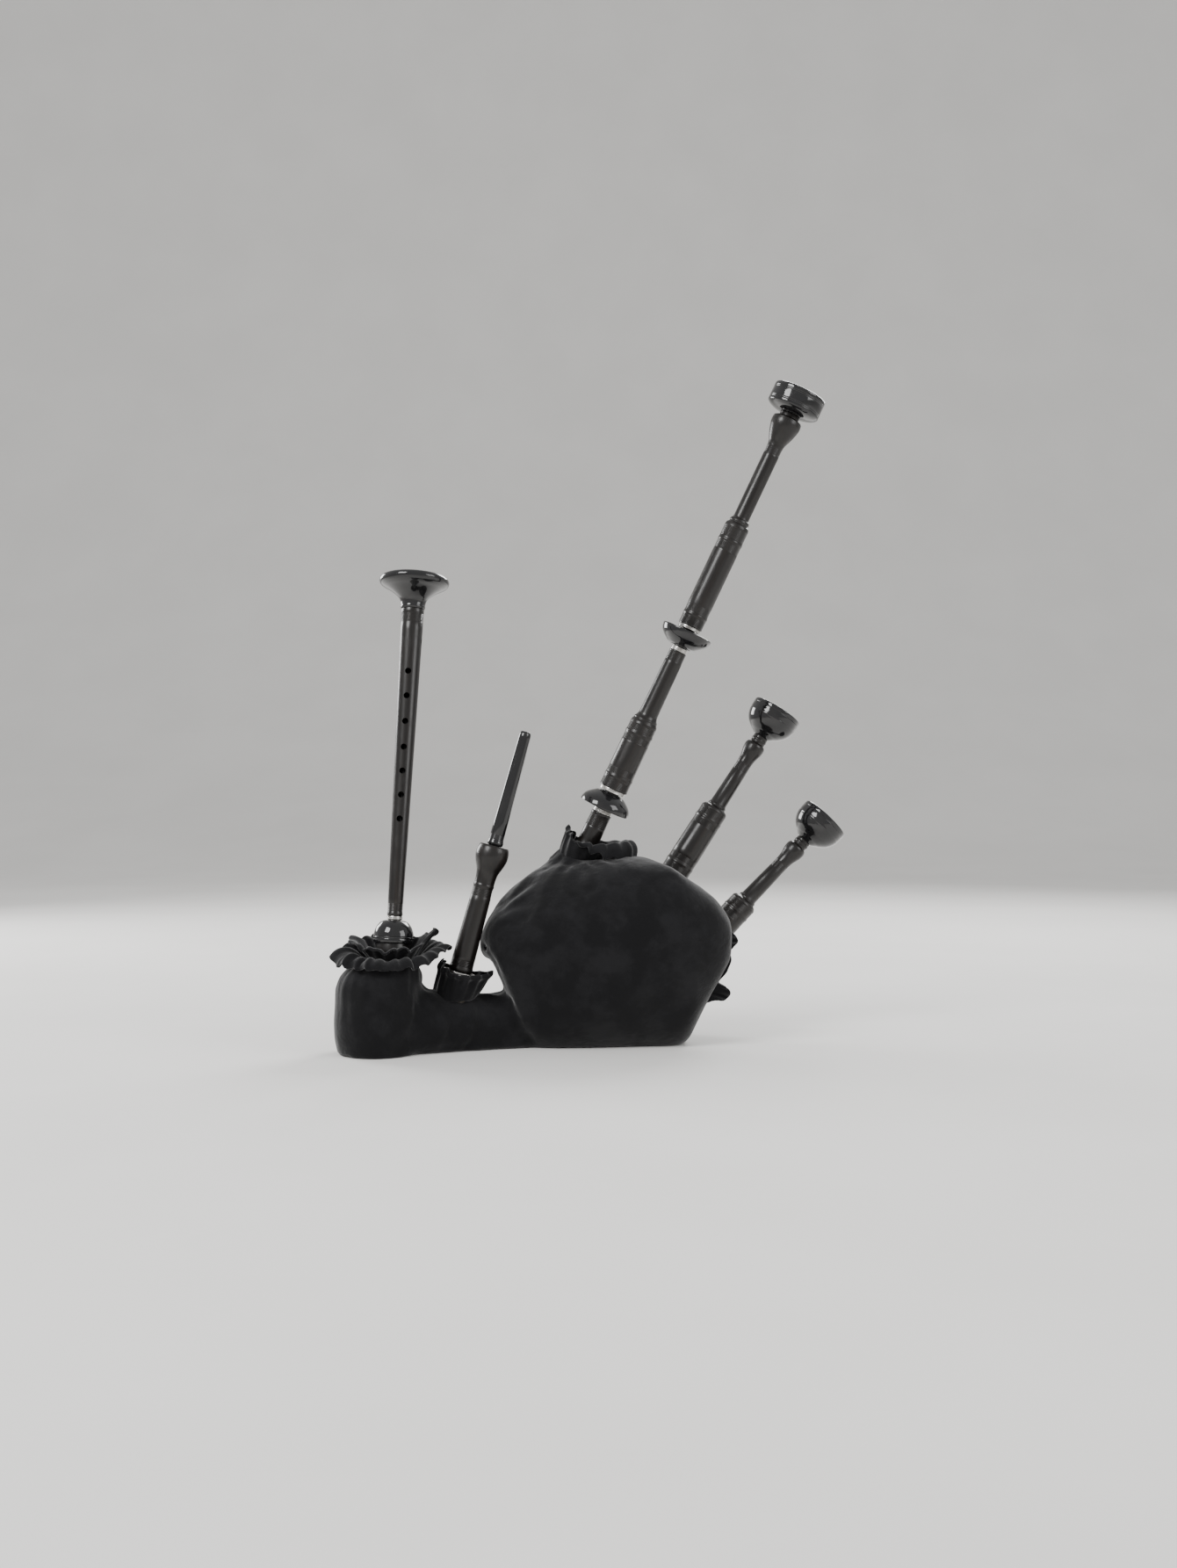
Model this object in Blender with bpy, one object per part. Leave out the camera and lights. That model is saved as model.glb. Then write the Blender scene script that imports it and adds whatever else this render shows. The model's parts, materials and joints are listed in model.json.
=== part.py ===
"""Great Highland style bagpipe, standing on the flat underside of its filled bag.

Metres, +Z up. The origin is on the table under the bag. Each pipe is drawn along its own axis,
with z = 0 where it leaves its stock, and an empty puts that axis into the world. Every wooden
piece is a turned profile of (radius, height) corners, given in millimetres.
"""

from math import cos, pi, sin, tau

import bmesh
import bpy
from mathutils import Matrix, Vector

MM = 0.001
SIDES = 14  # facets round a turned piece
SMALL_SIDES = 10  # facets round a reed, where nothing turns on it
FIT = 0.3  # gap between glued or resting faces
RUNNING = 0.4  # radial gap of a joint that slides or turns

# Pipe axes: the point where the pipe leaves its stock, and the way it points.
BASS_FOOT, BASS_WAY = (-3.1, -15.8, 207.1), (0.4264, -0.0548, 0.9029)
TENOR_1_FOOT, TENOR_1_WAY = (77.8, 29.0, 151.5), (0.5416, 0.0698, 0.8377)
TENOR_2_FOOT, TENOR_2_WAY = (92.6, 29.0, 63.3), (0.6984, 0.0698, 0.7124)
CHANTER_FOOT, CHANTER_WAY = (-199.2, -90.6, 135.0), (0.0428, 0.1379, 0.9896)
BLOWPIPE_FOOT, BLOWPIPE_WAY = (-133.1, -72.8, 80.6), (0.2624, 0.0495, 0.9637)

# Stocks and tenons
STOCK_R = 17.0
STOCK_SEAT_R = 16.0  # turned down for the metal ring
STOCK_RING_H = 9.0
TENON_R = 9.4
STOCK_BORE_R = TENON_R + RUNNING
BINDING_R = STOCK_R + 2.8
HOLE_R = BINDING_R + 0.9
BINDING_Z = (-34.0, -16.0)

# Bag and cover
COVER_T = 2.0
BAG_GAP = 0.5
BAG_T = 2.5
RING_POINTS = 16
# x of each upright section of the bag's body, with its top, bottom, front and back, and how far
# its top leans to the front, as a share of its height
BODY = (
    (-112, 114, 98, -46, -30, 0.0),
    (-106, 130, 91, -68, -6, 0.0),
    (-96, 147, 80, -84, 14, 0.0),
    (-84, 160, 46, -94, 30, 0.02),
    (-70, 172, 8, -99, 42, 0.03),
    (-48, 187, -8, -103, 54, 0.04),
    (-15, 194, -10, -106, 62, 0.06),
    (20, 197, -10, -106, 62, 0.10),
    (55, 197, -10, -104, 60, 0.16),
    (84, 189, -8, -99, 20, 0.22),
    (104, 175, 4, -94, -2, 0.22),
    (118, 165, 34, -88, -6, 0.22),
    (132, 154, 60, -80, -12, 0.22),
    (144, 138, 82, -70, -22, 0.22),
    (150, 124, 94, -58, -34, 0.22),
)
# the sleeve that the bag makes round a drone's stock: heights along the stock, and its top radius
SLEEVE_Z = (-56, -32, -10)
SLEEVE_TOP_R = 26.5
SLEEVE_BASE_R = {"bass": 37, "tenor_1": 29.5, "tenor_2": 29.5}
# centre of each section of the neck, its half width and half height
NECK = (
    ((-40, -38, 33), 28, 28),
    ((-72, -49, 30), 32, 34),
    ((-100, -60, 27), 31, 31),
    ((-140, -75, 28), 31, 33),
    ((-172, -88, 30), 34, 36),
    ((-205, -98, 32), 34, 34),
)
# centre and radius of each level section of the chanter's end of the bag
POT = (
    ((-213, -100, -9), 39),
    ((-213, -100, 10), 44),
    ((-213, -100, 42), 46),
    ((-212, -99, 74), 43),
    ((-206, -97, 91), 34),
    ((-202, -96, 100), 27),
)

# x, z and radius of each lobe of the gathered strip on the cover's end seam
SEAM_LOBES = ((146, 109, 13), (142, 92, 12), (136, 77, 11.8), (136, 55, 12.5))
SEAM_Y = -44.0
SEAM_T = 9.0

FINGER_HOLES = (104, 129, 154, 179, 206, 233, 259)  # heights of the seven front holes
THUMB_HOLE = 92
TONE_HOLES = 292
FINGER_HOLE_R = 3.2

VALVE_HINGE = (-6.9, -31.2)  # x and z of the flap's hinge, on the blowpipe's own axes

# name: (base colour, roughness, metallic)
FINISHES = {
    "blackwood": ((0.012, 0.010, 0.009), 0.32, 0.0),
    "horn": ((0.015, 0.015, 0.016), 0.20, 0.0),
    "nickel": ((0.30, 0.30, 0.31), 0.28, 1.0),
    "velvet": ((0.006, 0.006, 0.007), 0.90, 0.0),
    "leather": ((0.035, 0.024, 0.018), 0.60, 0.0),
    "hemp": ((0.09, 0.075, 0.050), 0.85, 0.0),
    "cane": ((0.55, 0.42, 0.20), 0.55, 0.0),
    "rubber": ((0.02, 0.02, 0.02), 0.75, 0.0),
}


def clear_scene():
    for obj in list(bpy.data.objects):
        bpy.data.objects.remove(obj)


def finish(name):
    material = bpy.data.materials.get(name)
    if material is None:
        colour, roughness, metallic = FINISHES[name]
        material = bpy.data.materials.new(name)
        material.use_nodes = True
        surface = material.node_tree.nodes["Principled BSDF"]
        surface.inputs["Base Color"].default_value = (*colour, 1.0)
        surface.inputs["Roughness"].default_value = roughness
        surface.inputs["Metallic"].default_value = metallic
    return material


def axis_empty(name, foot, way):
    """An empty at the pipe's foot, its Z along the pipe and its X to the right."""
    z = Vector(way).normalized()
    x = Vector((0, 1, 0)).cross(z).normalized()
    y = z.cross(x)
    turn = Matrix((x, y, z)).transposed().to_4x4()
    empty = bpy.data.objects.new(name, None)
    empty.matrix_world = Matrix.Translation(Vector(foot) * MM) @ turn
    bpy.context.scene.collection.objects.link(empty)
    return empty


def add_object(name, bm, material, parent=None):
    bmesh.ops.recalc_face_normals(bm, faces=bm.faces[:])
    mesh = bpy.data.meshes.new(name)
    bm.to_mesh(mesh)
    bm.free()
    mesh.materials.append(finish(material))
    mesh.shade_smooth()
    mesh.set_sharp_from_angle(angle=pi / 5)
    obj = bpy.data.objects.new(name, mesh)
    bpy.context.scene.collection.objects.link(obj)
    obj.parent = parent
    return obj


def helper(obj):
    """Marks a cutter, which isn't part of the object."""
    obj.hide_render = True
    obj.display_type = "WIRE"
    return obj


def cut(obj, *cutters):
    for cutter in cutters:
        modifier = obj.modifiers.new("Cut " + cutter.name, "BOOLEAN")
        modifier.operation = "DIFFERENCE"
        modifier.object = cutter


def join(obj, *others):
    for other in others:
        modifier = obj.modifiers.new("Join " + other.name, "BOOLEAN")
        modifier.operation = "UNION"
        modifier.object = other


def turned(name, corners, material, parent, sides=SIDES):
    """A turned piece from the corners of its section, in order. Corners on the axis close it."""
    bm = bmesh.new()
    verts = [bm.verts.new((r * MM, 0, z * MM)) for r, z in corners]
    ends_on_axis = corners[0][0] == 0 and corners[-1][0] == 0
    pairs = list(zip(verts, verts[1:]))
    if not ends_on_axis:
        pairs.append((verts[-1], verts[0]))
    edges = [bm.edges.new(pair) for pair in pairs]
    bmesh.ops.spin(
        bm, geom=verts + edges, cent=(0, 0, 0), axis=(0, 0, 1), angle=tau, steps=sides, use_merge=True
    )
    bmesh.ops.remove_doubles(bm, verts=bm.verts[:], dist=1e-6)
    return add_object(name, bm, material, parent)


def ring(name, inner, outer, low, high, material, parent, sides=SIDES):
    corners = ((inner, low), (outer, low), (outer, high), (inner, high))
    return turned(name, corners, material, parent, sides)


def rod(name, radius, low, high, parent, sides=SIDES):
    """A plain round cutter along its parent's axis."""
    bm = bmesh.new()
    bmesh.ops.create_cone(
        bm, cap_ends=True, segments=sides, radius1=radius * MM, radius2=radius * MM, depth=(high - low) * MM
    )
    bmesh.ops.translate(bm, verts=bm.verts[:], vec=(0, 0, (low + high) / 2 * MM))
    return helper(add_object(name, bm, "rubber", parent))


def loft(name, rings, material):
    """A closed skin over a row of rings of equal length, capped at both ends."""
    bm = bmesh.new()
    loops = [[bm.verts.new(Vector(point) * MM) for point in points] for points in rings]
    count = len(loops[0])
    for low, high in zip(loops, loops[1:]):
        for i in range(count):
            j = (i + 1) % count
            bm.faces.new((low[i], low[j], high[j]))
            bm.faces.new((low[i], high[j], high[i]))
    bm.faces.new(loops[0][::-1])
    bm.faces.new(loops[-1])
    return add_object(name, bm, material)


def rounded(value, power):
    """A sine or cosine pushed outwards, so that an ellipse gets squarer corners."""
    return abs(value) ** power * (1 if value >= 0 else -1)


def body_rings(inset):
    """The bag's body, moved in from its outer skin by inset."""
    rings = []
    for x, top, bottom, front, back, lean in BODY:
        x_in = x + inset if x < 0 and x < -90 else x
        x_in = x - inset if x > 140 else x_in
        middle = (top + bottom) / 2
        tall = max((top - bottom) / 2 - inset, 1.5)
        centre = (front + back) / 2
        wide = max((back - front) / 2 - inset, 1.5)
        points = []
        for i in range(RING_POINTS):
            angle = tau * (i + 0.5) / RING_POINTS
            power = 1.0 if sin(angle) > 0 else 0.72
            z = middle + tall * rounded(sin(angle), power)
            y = centre + wide * rounded(cos(angle), power) - lean * (z - middle)
            points.append((x_in, y, z))
        rings.append(points)
    return rings


def neck_rings(inset):
    """The tube that joins the bag's body to the chanter's end."""
    rings = []
    for i, (centre, wide, tall) in enumerate(NECK):
        before = Vector(NECK[max(i - 1, 0)][0])
        after = Vector(NECK[min(i + 1, len(NECK) - 1)][0])
        along = (after - before).normalized()
        side = along.cross(Vector((0, 0, 1))).normalized()
        points = []
        for j in range(RING_POINTS):
            angle = tau * (j + 0.5) / RING_POINTS
            power = 1.0 if sin(angle) > 0 else 0.8
            point = Vector(centre)
            point += side * (wide - inset) * rounded(cos(angle), power)
            point.z += (tall - inset) * rounded(sin(angle), power)
            points.append(tuple(point))
        rings.append(points)
    return rings


def pot_rings(inset):
    """The upright end that holds the chanter's stock."""
    last = len(POT) - 1
    turns = [tau * j / RING_POINTS for j in range(RING_POINTS)]
    rings = []
    for i, (centre, radius) in enumerate(POT):
        x, y, z = centre
        z_in = z if i < last else z - inset
        r = radius - inset
        rings.append([(x + r * cos(turn), y + r * sin(turn), z_in) for turn in turns])
    return rings


def sleeve_rings(inset, base_r):
    """The gathered sleeve round one drone's stock, along the stock's own axis."""
    low, high = SLEEVE_Z[0], SLEEVE_Z[-1]
    rings = []
    for z in SLEEVE_Z:
        share = (z - low) / (high - low)
        r = base_r + (SLEEVE_TOP_R - base_r) * share - inset
        level = z + inset * (1 - 2 * share)
        rings.append([(r * cos(tau * j / SIDES), r * sin(tau * j / SIDES), level) for j in range(SIDES)])
    return rings


def bag_skin(name, inset, material, axes):
    """The whole outer shape of the bag, moved in by inset: body, neck, chanter's end and sleeves."""
    skin = loft(name, body_rings(inset), material)
    neck = helper(loft(name + "_neck", neck_rings(inset), material))
    pot = helper(loft(name + "_pot", pot_rings(inset), material))
    join(skin, neck, pot)
    for drone, base_r in SLEEVE_BASE_R.items():
        sleeve = helper(loft(f"{name}_{drone}_sleeve", sleeve_rings(inset, base_r), material))
        sleeve.parent = axes[drone]
        join(skin, sleeve)
    cut(skin, below(name + "_floor", inset))
    return skin


def below(name, level):
    """A block under a level, which gives the bag its flat underside."""
    bm = bmesh.new()
    bmesh.ops.create_cube(bm, size=1.0)
    bmesh.ops.scale(bm, verts=bm.verts[:], vec=(0.8, 0.5, 0.1))
    bmesh.ops.translate(bm, verts=bm.verts[:], vec=(0, 0, level * MM - 0.05))
    return helper(add_object(name, bm, "rubber"))


def shell(name, inset, thickness, material, axes, hole_cutters):
    outer = bag_skin(name, inset, material, axes)
    inside = helper(bag_skin(name + "_inside", inset + thickness, material, axes))
    cut(outer, inside, *hole_cutters)
    return outer


def frill(name, centre, tilt, radii, heights, lobes, material, cutters):
    """A gathered cuff: a lobed dome round a stock, cut clear of the stock and of the cover."""
    low, high = heights
    inner_r, outer_r = radii
    steps = lobes * 4
    axis = Vector((sin(tilt), 0, cos(tilt)))
    side = Vector((cos(tilt), 0, -sin(tilt)))
    section = ((0.55, 0.0), (0.92, 0.12), (1.0, 0.45), (0.86, 0.85), (0.62, 1.0), (0.30, 0.78))
    rings = []
    for share, height in section:
        points = []
        for i in range(steps):
            angle = tau * i / steps
            wave = 0.5 + 0.5 * cos(angle * lobes)
            r = share * (inner_r + (outer_r - inner_r) * wave)
            point = Vector(centre) + side * r * cos(angle) + Vector((0, r * sin(angle), 0))
            points.append(tuple(point + axis * (low + (high - low) * height)))
        rings.append(points)
    cuff = loft(name, rings, material)
    cut(cuff, *cutters)
    return cuff


def stock(name, parent, length):
    """A stock tube with its tie-in groove, its metal ring and the cord that binds the bag to it."""
    low, groove_low, groove_high = -length, BINDING_Z[0], BINDING_Z[1]
    groove_r = STOCK_R - 1.2
    bore_low_r = STOCK_BORE_R + 1.6
    corners = (
        (bore_low_r, low),
        (STOCK_R - 1.5, low),
        (STOCK_R, low + 3),
        (STOCK_R, groove_low),
        (groove_r, groove_low + 2),
        (groove_r, groove_high - 2),
        (STOCK_R, groove_high),
        (STOCK_R, -STOCK_RING_H - FIT),
        (STOCK_SEAT_R, -STOCK_RING_H - FIT),
        (STOCK_SEAT_R, -0.6),
        (STOCK_BORE_R, -0.6),
        (STOCK_BORE_R, -30),
        (bore_low_r, -32),
    )
    turned(name, corners, "blackwood", parent)
    ring(name + "_ring", STOCK_SEAT_R + FIT, STOCK_R + 1.0, -STOCK_RING_H, -0.6, "nickel", parent)
    ring(name + "_binding", STOCK_R + FIT, BINDING_R, groove_low + 1, groove_high - 1, "hemp", parent)


def drone_reed(name, parent, top, low):
    """A single-tongue reed, blind at its lower end, held in the foot of a drone."""
    corners = (
        (0, low),
        (4.6, low),
        (5.2, low + 3),
        (5.2, top - 3),
        (3.9, top),
        (3.9, top + 13),
        (2.0, top + 13),
        (2.0, low + 6),
        (0, low + 6),
    )
    turned(name, corners, "cane", parent, SMALL_SIDES)


def chanter_end(parent):
    """The chanter's stock with its domed cap, and the cord that ties the bag on."""
    cap_seat_r = 13.6
    corners = (
        (STOCK_BORE_R, -76),
        (STOCK_R - 1.5, -76),
        (STOCK_R, -73),
        (STOCK_R, -53),
        (STOCK_R - 1.2, -51),
        (STOCK_R - 1.2, -39),
        (STOCK_R, -37),
        (STOCK_R, -24),
        (cap_seat_r, -24),
        (cap_seat_r, -4),
        (STOCK_BORE_R, -4),
    )
    turned("chanter_stock", corners, "blackwood", parent)
    dome = (
        (cap_seat_r + FIT, -23.7),
        (20.6, -23.7),
        (20.6, -17),
        (19.2, -10),
        (16.2, -4.6),
        (12.4, -1.4),
        (STOCK_BORE_R, -0.6),
        (STOCK_BORE_R, -3.7),
        (cap_seat_r + FIT, -3.7),
    )
    turned("chanter_stock_cap", dome, "horn", parent)
    ring("chanter_stock_binding", STOCK_R + FIT, BINDING_R, -52, -38, "hemp", parent)


def chanter(parent):
    """Conical chanter with its finger holes, sole, ferrule and double reed."""
    tube = (
        (3.4, -27),
        (8.6, -27),
        (TENON_R, -25),
        (TENON_R, -1.0),
        (6.6, -0.2),
        (6.6, 3.6),
        (7.7, 3.9),
        (11.9, 326.7),
        (10.6, 326.7),
        (10.6, 356),
        (8.4, 356),
        (2.3, -8),
        (3.4, -10),
    )
    body = turned("chanter_tube", tube, "blackwood", parent)
    holes = []
    for i, height in enumerate(FINGER_HOLES):
        holes.append(cross_hole(f"finger_hole_{i + 1}", height, (0, -1), parent))
    holes.append(cross_hole("thumb_hole", THUMB_HOLE, (0, 1), parent))
    holes.append(cross_hole("tone_hole_left", TONE_HOLES, (-1, 0), parent))
    holes.append(cross_hole("tone_hole_right", TONE_HOLES, (1, 0), parent))
    cut(body, *holes)
    sole = (
        (10.9, 327),
        (12.4, 327),
        (13.2, 334),
        (17.4, 341),
        (27.5, 348.3),
        (35.0, 352.5),
        (36.8, 356.5),
        (35.4, 360.4),
        (31.0, 362),
        (9.4, 362),
        (9.4, 356.3),
        (10.9, 356.3),
    )
    turned("chanter_sole", sole, "horn", parent)
    ring("chanter_ferrule", 6.9, 8.0, 0.3, 3.5, "nickel", parent)
    staple = ((1.2, -34), (1.9, -34), (2.9, -28), (2.9, -15), (1.9, -15), (1.9, -28))
    turned("chanter_reed_staple", staple, "nickel", parent, SMALL_SIDES)
    reed_blades(parent)


def cross_hole(name, height, way, parent):
    """A round cutter through one wall of the chanter, its inner end inside the bore."""
    bm = bmesh.new()
    reach = 12.0
    start = 1.0
    bmesh.ops.create_cone(
        bm,
        cap_ends=True,
        segments=10,
        radius1=FINGER_HOLE_R * MM,
        radius2=FINGER_HOLE_R * MM,
        depth=reach * 1.5 * MM,
    )
    along = Vector((way[0], way[1], 0))
    turn = Vector((0, 0, 1)).rotation_difference(along).to_matrix()
    bmesh.ops.rotate(bm, verts=bm.verts[:], cent=(0, 0, 0), matrix=turn)
    offset = along * (start + reach * 0.75) * MM + Vector((0, 0, height * MM))
    bmesh.ops.translate(bm, verts=bm.verts[:], vec=offset)
    return helper(add_object(name, bm, "rubber", parent))


def reed_blades(parent):
    """The chanter reed's pair of cane blades, as one flat wedge over the end of the staple."""
    levels = ((-34.4, 2.6, 2.2), (-46, 4.6, 1.8), (-60, 6.0, 0.7))
    rings = []
    for z, wide, thick in levels:
        rings.append([(wide * cos(tau * i / 12), thick * sin(tau * i / 12), z) for i in range(12)])
    blades = loft("chanter_reed_blades", rings, "cane")
    blades.parent = parent


def mount_up(name, parent, low, bore, high):
    """A projecting mount whose rim turns up."""
    corners = (
        (bore, low),
        (11.4, low),
        (20.5, low + 5.2),
        (26.2, low + 11.5),
        (27.6, low + 17.6),
        (25.6, low + 18.2),
        (20.0, low + 14.6),
        (14.4, low + 15.2),
        (13.0, high),
        (bore, high),
    )
    turned(name, corners, "horn", parent)


def mount_down(name, parent, low, bore, high):
    """A projecting mount whose rim turns down."""
    corners = (
        (bore, low),
        (13.0, low),
        (14.4, high - 15.2),
        (20.0, high - 14.6),
        (25.6, high - 18.2),
        (27.6, high - 17.6),
        (26.2, high - 11.5),
        (20.5, high - 5.2),
        (11.4, high),
        (bore, high),
    )
    turned(name, corners, "horn", parent)


def bass_drone(axis):
    """Three joints on two tuning pins, with two mounts, rings, ferrules, cap and bush."""
    pin_r, hemp_r = 8.7, 10.0
    foot = (
        (4.1, -26),
        (TENON_R - 0.8, -26),
        (TENON_R, -24),
        (TENON_R, 0),
        (12.4, 0),
        (11.2, 12),
        (11.2, 40.4),
        (pin_r, 40.4),
        (pin_r, 132),
        (4.4, 132),
        (4.4, -12),
        (4.1, -13),
    )
    turned("bass_bottom_joint", foot, "blackwood", axis)
    ring("bass_bottom_ring", pin_r + FIT, 10.4, 40.7, 44.9, "nickel", axis)
    mount_down("bass_bottom_mount", axis, 45.2, pin_r + FIT, 64.4)
    ring("bass_bottom_hemp", pin_r + 0.1, hemp_r, 72, 128, "hemp", axis)
    drone_reed("bass_reed", axis, -26.4, -72)

    socket_r = hemp_r + RUNNING
    pin_2_r, hemp_2_r = 7.2, 8.4
    body = (
        (socket_r, 69.3),
        (15.8, 69.3),
        (14.9, 145),
        (13.2, 149),
        (10.5, 157),
        (9.4, 231),
        (pin_2_r, 231),
        (pin_2_r, 322),
        (4.6, 322),
        (4.6, 146),
        (socket_r, 141),
    )
    turned("bass_middle_joint", body, "blackwood", axis)
    ring("bass_middle_ferrule", socket_r, 14.4, 65.6, 69.0, "nickel", axis)
    ring("bass_middle_ring", pin_2_r + FIT, 8.8, 231.3, 235.7, "nickel", axis)
    mount_up("bass_middle_mount", axis, 236, pin_2_r + FIT, 255.5)
    ring("bass_middle_hemp", pin_2_r + 0.1, hemp_2_r, 263, 318, "hemp", axis)

    socket_2_r = hemp_2_r + RUNNING
    head = (
        (socket_2_r, 260.3),
        (13.4, 260.3),
        (13.4, 376),
        (10.6, 380),
        (10.6, 384),
        (8.6, 387),
        (8.6, 471),
        (11.2, 478),
        (14.4, 487),
        (16.2, 496),
        (15.6, 500.5),
        (10.8, 502.5),
        (10.8, 506.3),
        (8.0, 506.3),
        (8.0, 523.7),
        (5.6, 523.7),
        (4.8, 336),
        (socket_2_r, 331),
    )
    turned("bass_top_joint", head, "blackwood", axis)
    ring("bass_top_ferrule", socket_2_r, 12.4, 256.7, 260.0, "nickel", axis)
    cap = (
        (8.3, 506.6),
        (12.8, 506.6),
        (22.0, 508.4),
        (28.6, 512.0),
        (28.6, 530.6),
        (27.4, 532.4),
        (15.4, 532.4),
        (15.4, 524.0),
        (8.3, 524.0),
    )
    turned("bass_top_cap", cap, "horn", axis)
    ring("bass_top_bush", 6.4, 15.1, 524.3, 531.0, "nickel", axis)


def tenor_drone(name, axis):
    """Two joints on one tuning pin, with a mount, a ferrule, a cup and a reed."""
    pin_r, hemp_r = 8.7, 10.0
    foot = (
        (4.1, -24),
        (TENON_R - 0.8, -24),
        (TENON_R, -22),
        (TENON_R, 0),
        (13.0, 0),
        (12.0, 4),
        (12.0, 11.7),
        (pin_r, 11.7),
        (pin_r, 86),
        (4.4, 86),
        (4.4, -10),
        (4.1, -11),
    )
    turned(name + "_bottom_joint", foot, "blackwood", axis)
    mount = (
        (pin_r + FIT, 12),
        (13.0, 12),
        (20.0, 14.2),
        (24.0, 18.5),
        (22.8, 21.4),
        (14.6, 22.2),
        (13.4, 24.1),
        (pin_r + FIT, 24.1),
    )
    turned(name + "_mount", mount, "horn", axis)
    ring(name + "_hemp", pin_r + 0.1, hemp_r, 33, 82, "hemp", axis)
    drone_reed(name + "_reed", axis, -24.4, -48)

    socket_r = hemp_r + RUNNING
    body = (
        (socket_r, 29.3),
        (16.3, 29.3),
        (15.4, 112.5),
        (9.2, 117.5),
        (8.3, 178),
        (10.0, 186),
        (11.4, 192),
        (11.4, 197),
        (8.2, 200.5),
        (8.2, 209),
        (6.8, 209),
        (6.8, 218),
        (5.0, 218),
        (4.6, 99),
        (socket_r, 95),
    )
    turned(name + "_top_joint", body, "blackwood", axis)
    ring(name + "_ferrule", socket_r, 14.6, 25.4, 29.0, "nickel", axis)
    cup = (
        (7.1, 209.3),
        (9.2, 209.3),
        (13.2, 212.6),
        (19.2, 216.4),
        (24.2, 221.8),
        (27.2, 228.2),
        (28.1, 236),
        (28.1, 243.2),
        (26.0, 244),
        (24.4, 236),
        (21.0, 226),
        (12.0, 219.4),
        (7.1, 218.4),
    )
    turned(name + "_cup", cup, "horn", axis)


def blowpipe(axis, valve_axis):
    """Blowpipe stick with its trumpet mount, mouthpiece, valve seat and flap."""
    body = (
        (5.6, -25),
        (TENON_R, -25),
        (TENON_R, 0),
        (12.6, 0),
        (12.0, 16),
        (10.5, 98),
        (11.4, 105),
        (14.2, 112.5),
        (17.0, 121.5),
        (16.8, 129),
        (14.8, 134.5),
        (7.6, 134.5),
        (7.6, 111),
        (5.6, 108),
    )
    turned("blowpipe_stick", body, "blackwood", axis)
    tube = (
        (3.4, 113),
        (6.5, 113),
        (6.5, 135),
        (8.2, 135),
        (7.2, 195),
        (6.3, 253),
        (4.9, 257.6),
        (3.4, 258),
    )
    turned("mouthpiece", tube, "horn", axis)
    ring("mouthpiece_hemp", 6.6, 7.2, 116, 132, "hemp", axis)
    ring("valve_seat", 4.4, 8.6, -30.8, -25.3, "rubber", axis)
    flap(valve_axis)


def flap(parent):
    """The leather disc that shuts the blowpipe's lower end, with its tab on the hinge line."""
    hinge_x, hinge_z = VALVE_HINGE
    bm = bmesh.new()
    radius, thick, tab = 6.0, 1.0, 1.8
    bmesh.ops.create_cone(
        bm, cap_ends=True, segments=16, radius1=radius * MM, radius2=radius * MM, depth=thick * MM
    )
    for vert in bm.verts:
        if vert.co.x < -0.5 * radius * MM:
            vert.co.x = -(radius + tab / 2) * MM if abs(vert.co.y) < 0.8 * radius * MM else vert.co.x
    bmesh.ops.translate(bm, verts=bm.verts[:], vec=(-hinge_x * MM, 0, -thick / 2 * MM))
    add_object("valve_flap", bm, "leather", parent)
    parent.matrix_world = parent.matrix_world @ Matrix.Translation((hinge_x * MM, 0, hinge_z * MM))


def seam_frill(cutters):
    """The gathered strip along the end seam of the cover: overlapping lobes, cut clear of it."""
    lobes = []
    for i, (x, z, radius) in enumerate(SEAM_LOBES):
        bm = bmesh.new()
        bmesh.ops.create_cone(
            bm, cap_ends=True, segments=SIDES, radius1=radius * MM, radius2=radius * MM, depth=SEAM_T * MM
        )
        quarter = Matrix.Rotation(pi / 2, 3, "X")
        bmesh.ops.rotate(bm, verts=bm.verts[:], cent=(0, 0, 0), matrix=quarter)
        bmesh.ops.translate(bm, verts=bm.verts[:], vec=(x * MM, (SEAM_Y + i * 0.7) * MM, z * MM))
        name = "seam_frill" if i == 0 else f"seam_lobe_{i}"
        lobes.append(add_object(name, bm, "velvet"))
    for lobe in lobes[1:]:
        helper(lobe)
    join(lobes[0], *lobes[1:])
    cut(lobes[0], *cutters)


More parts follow.
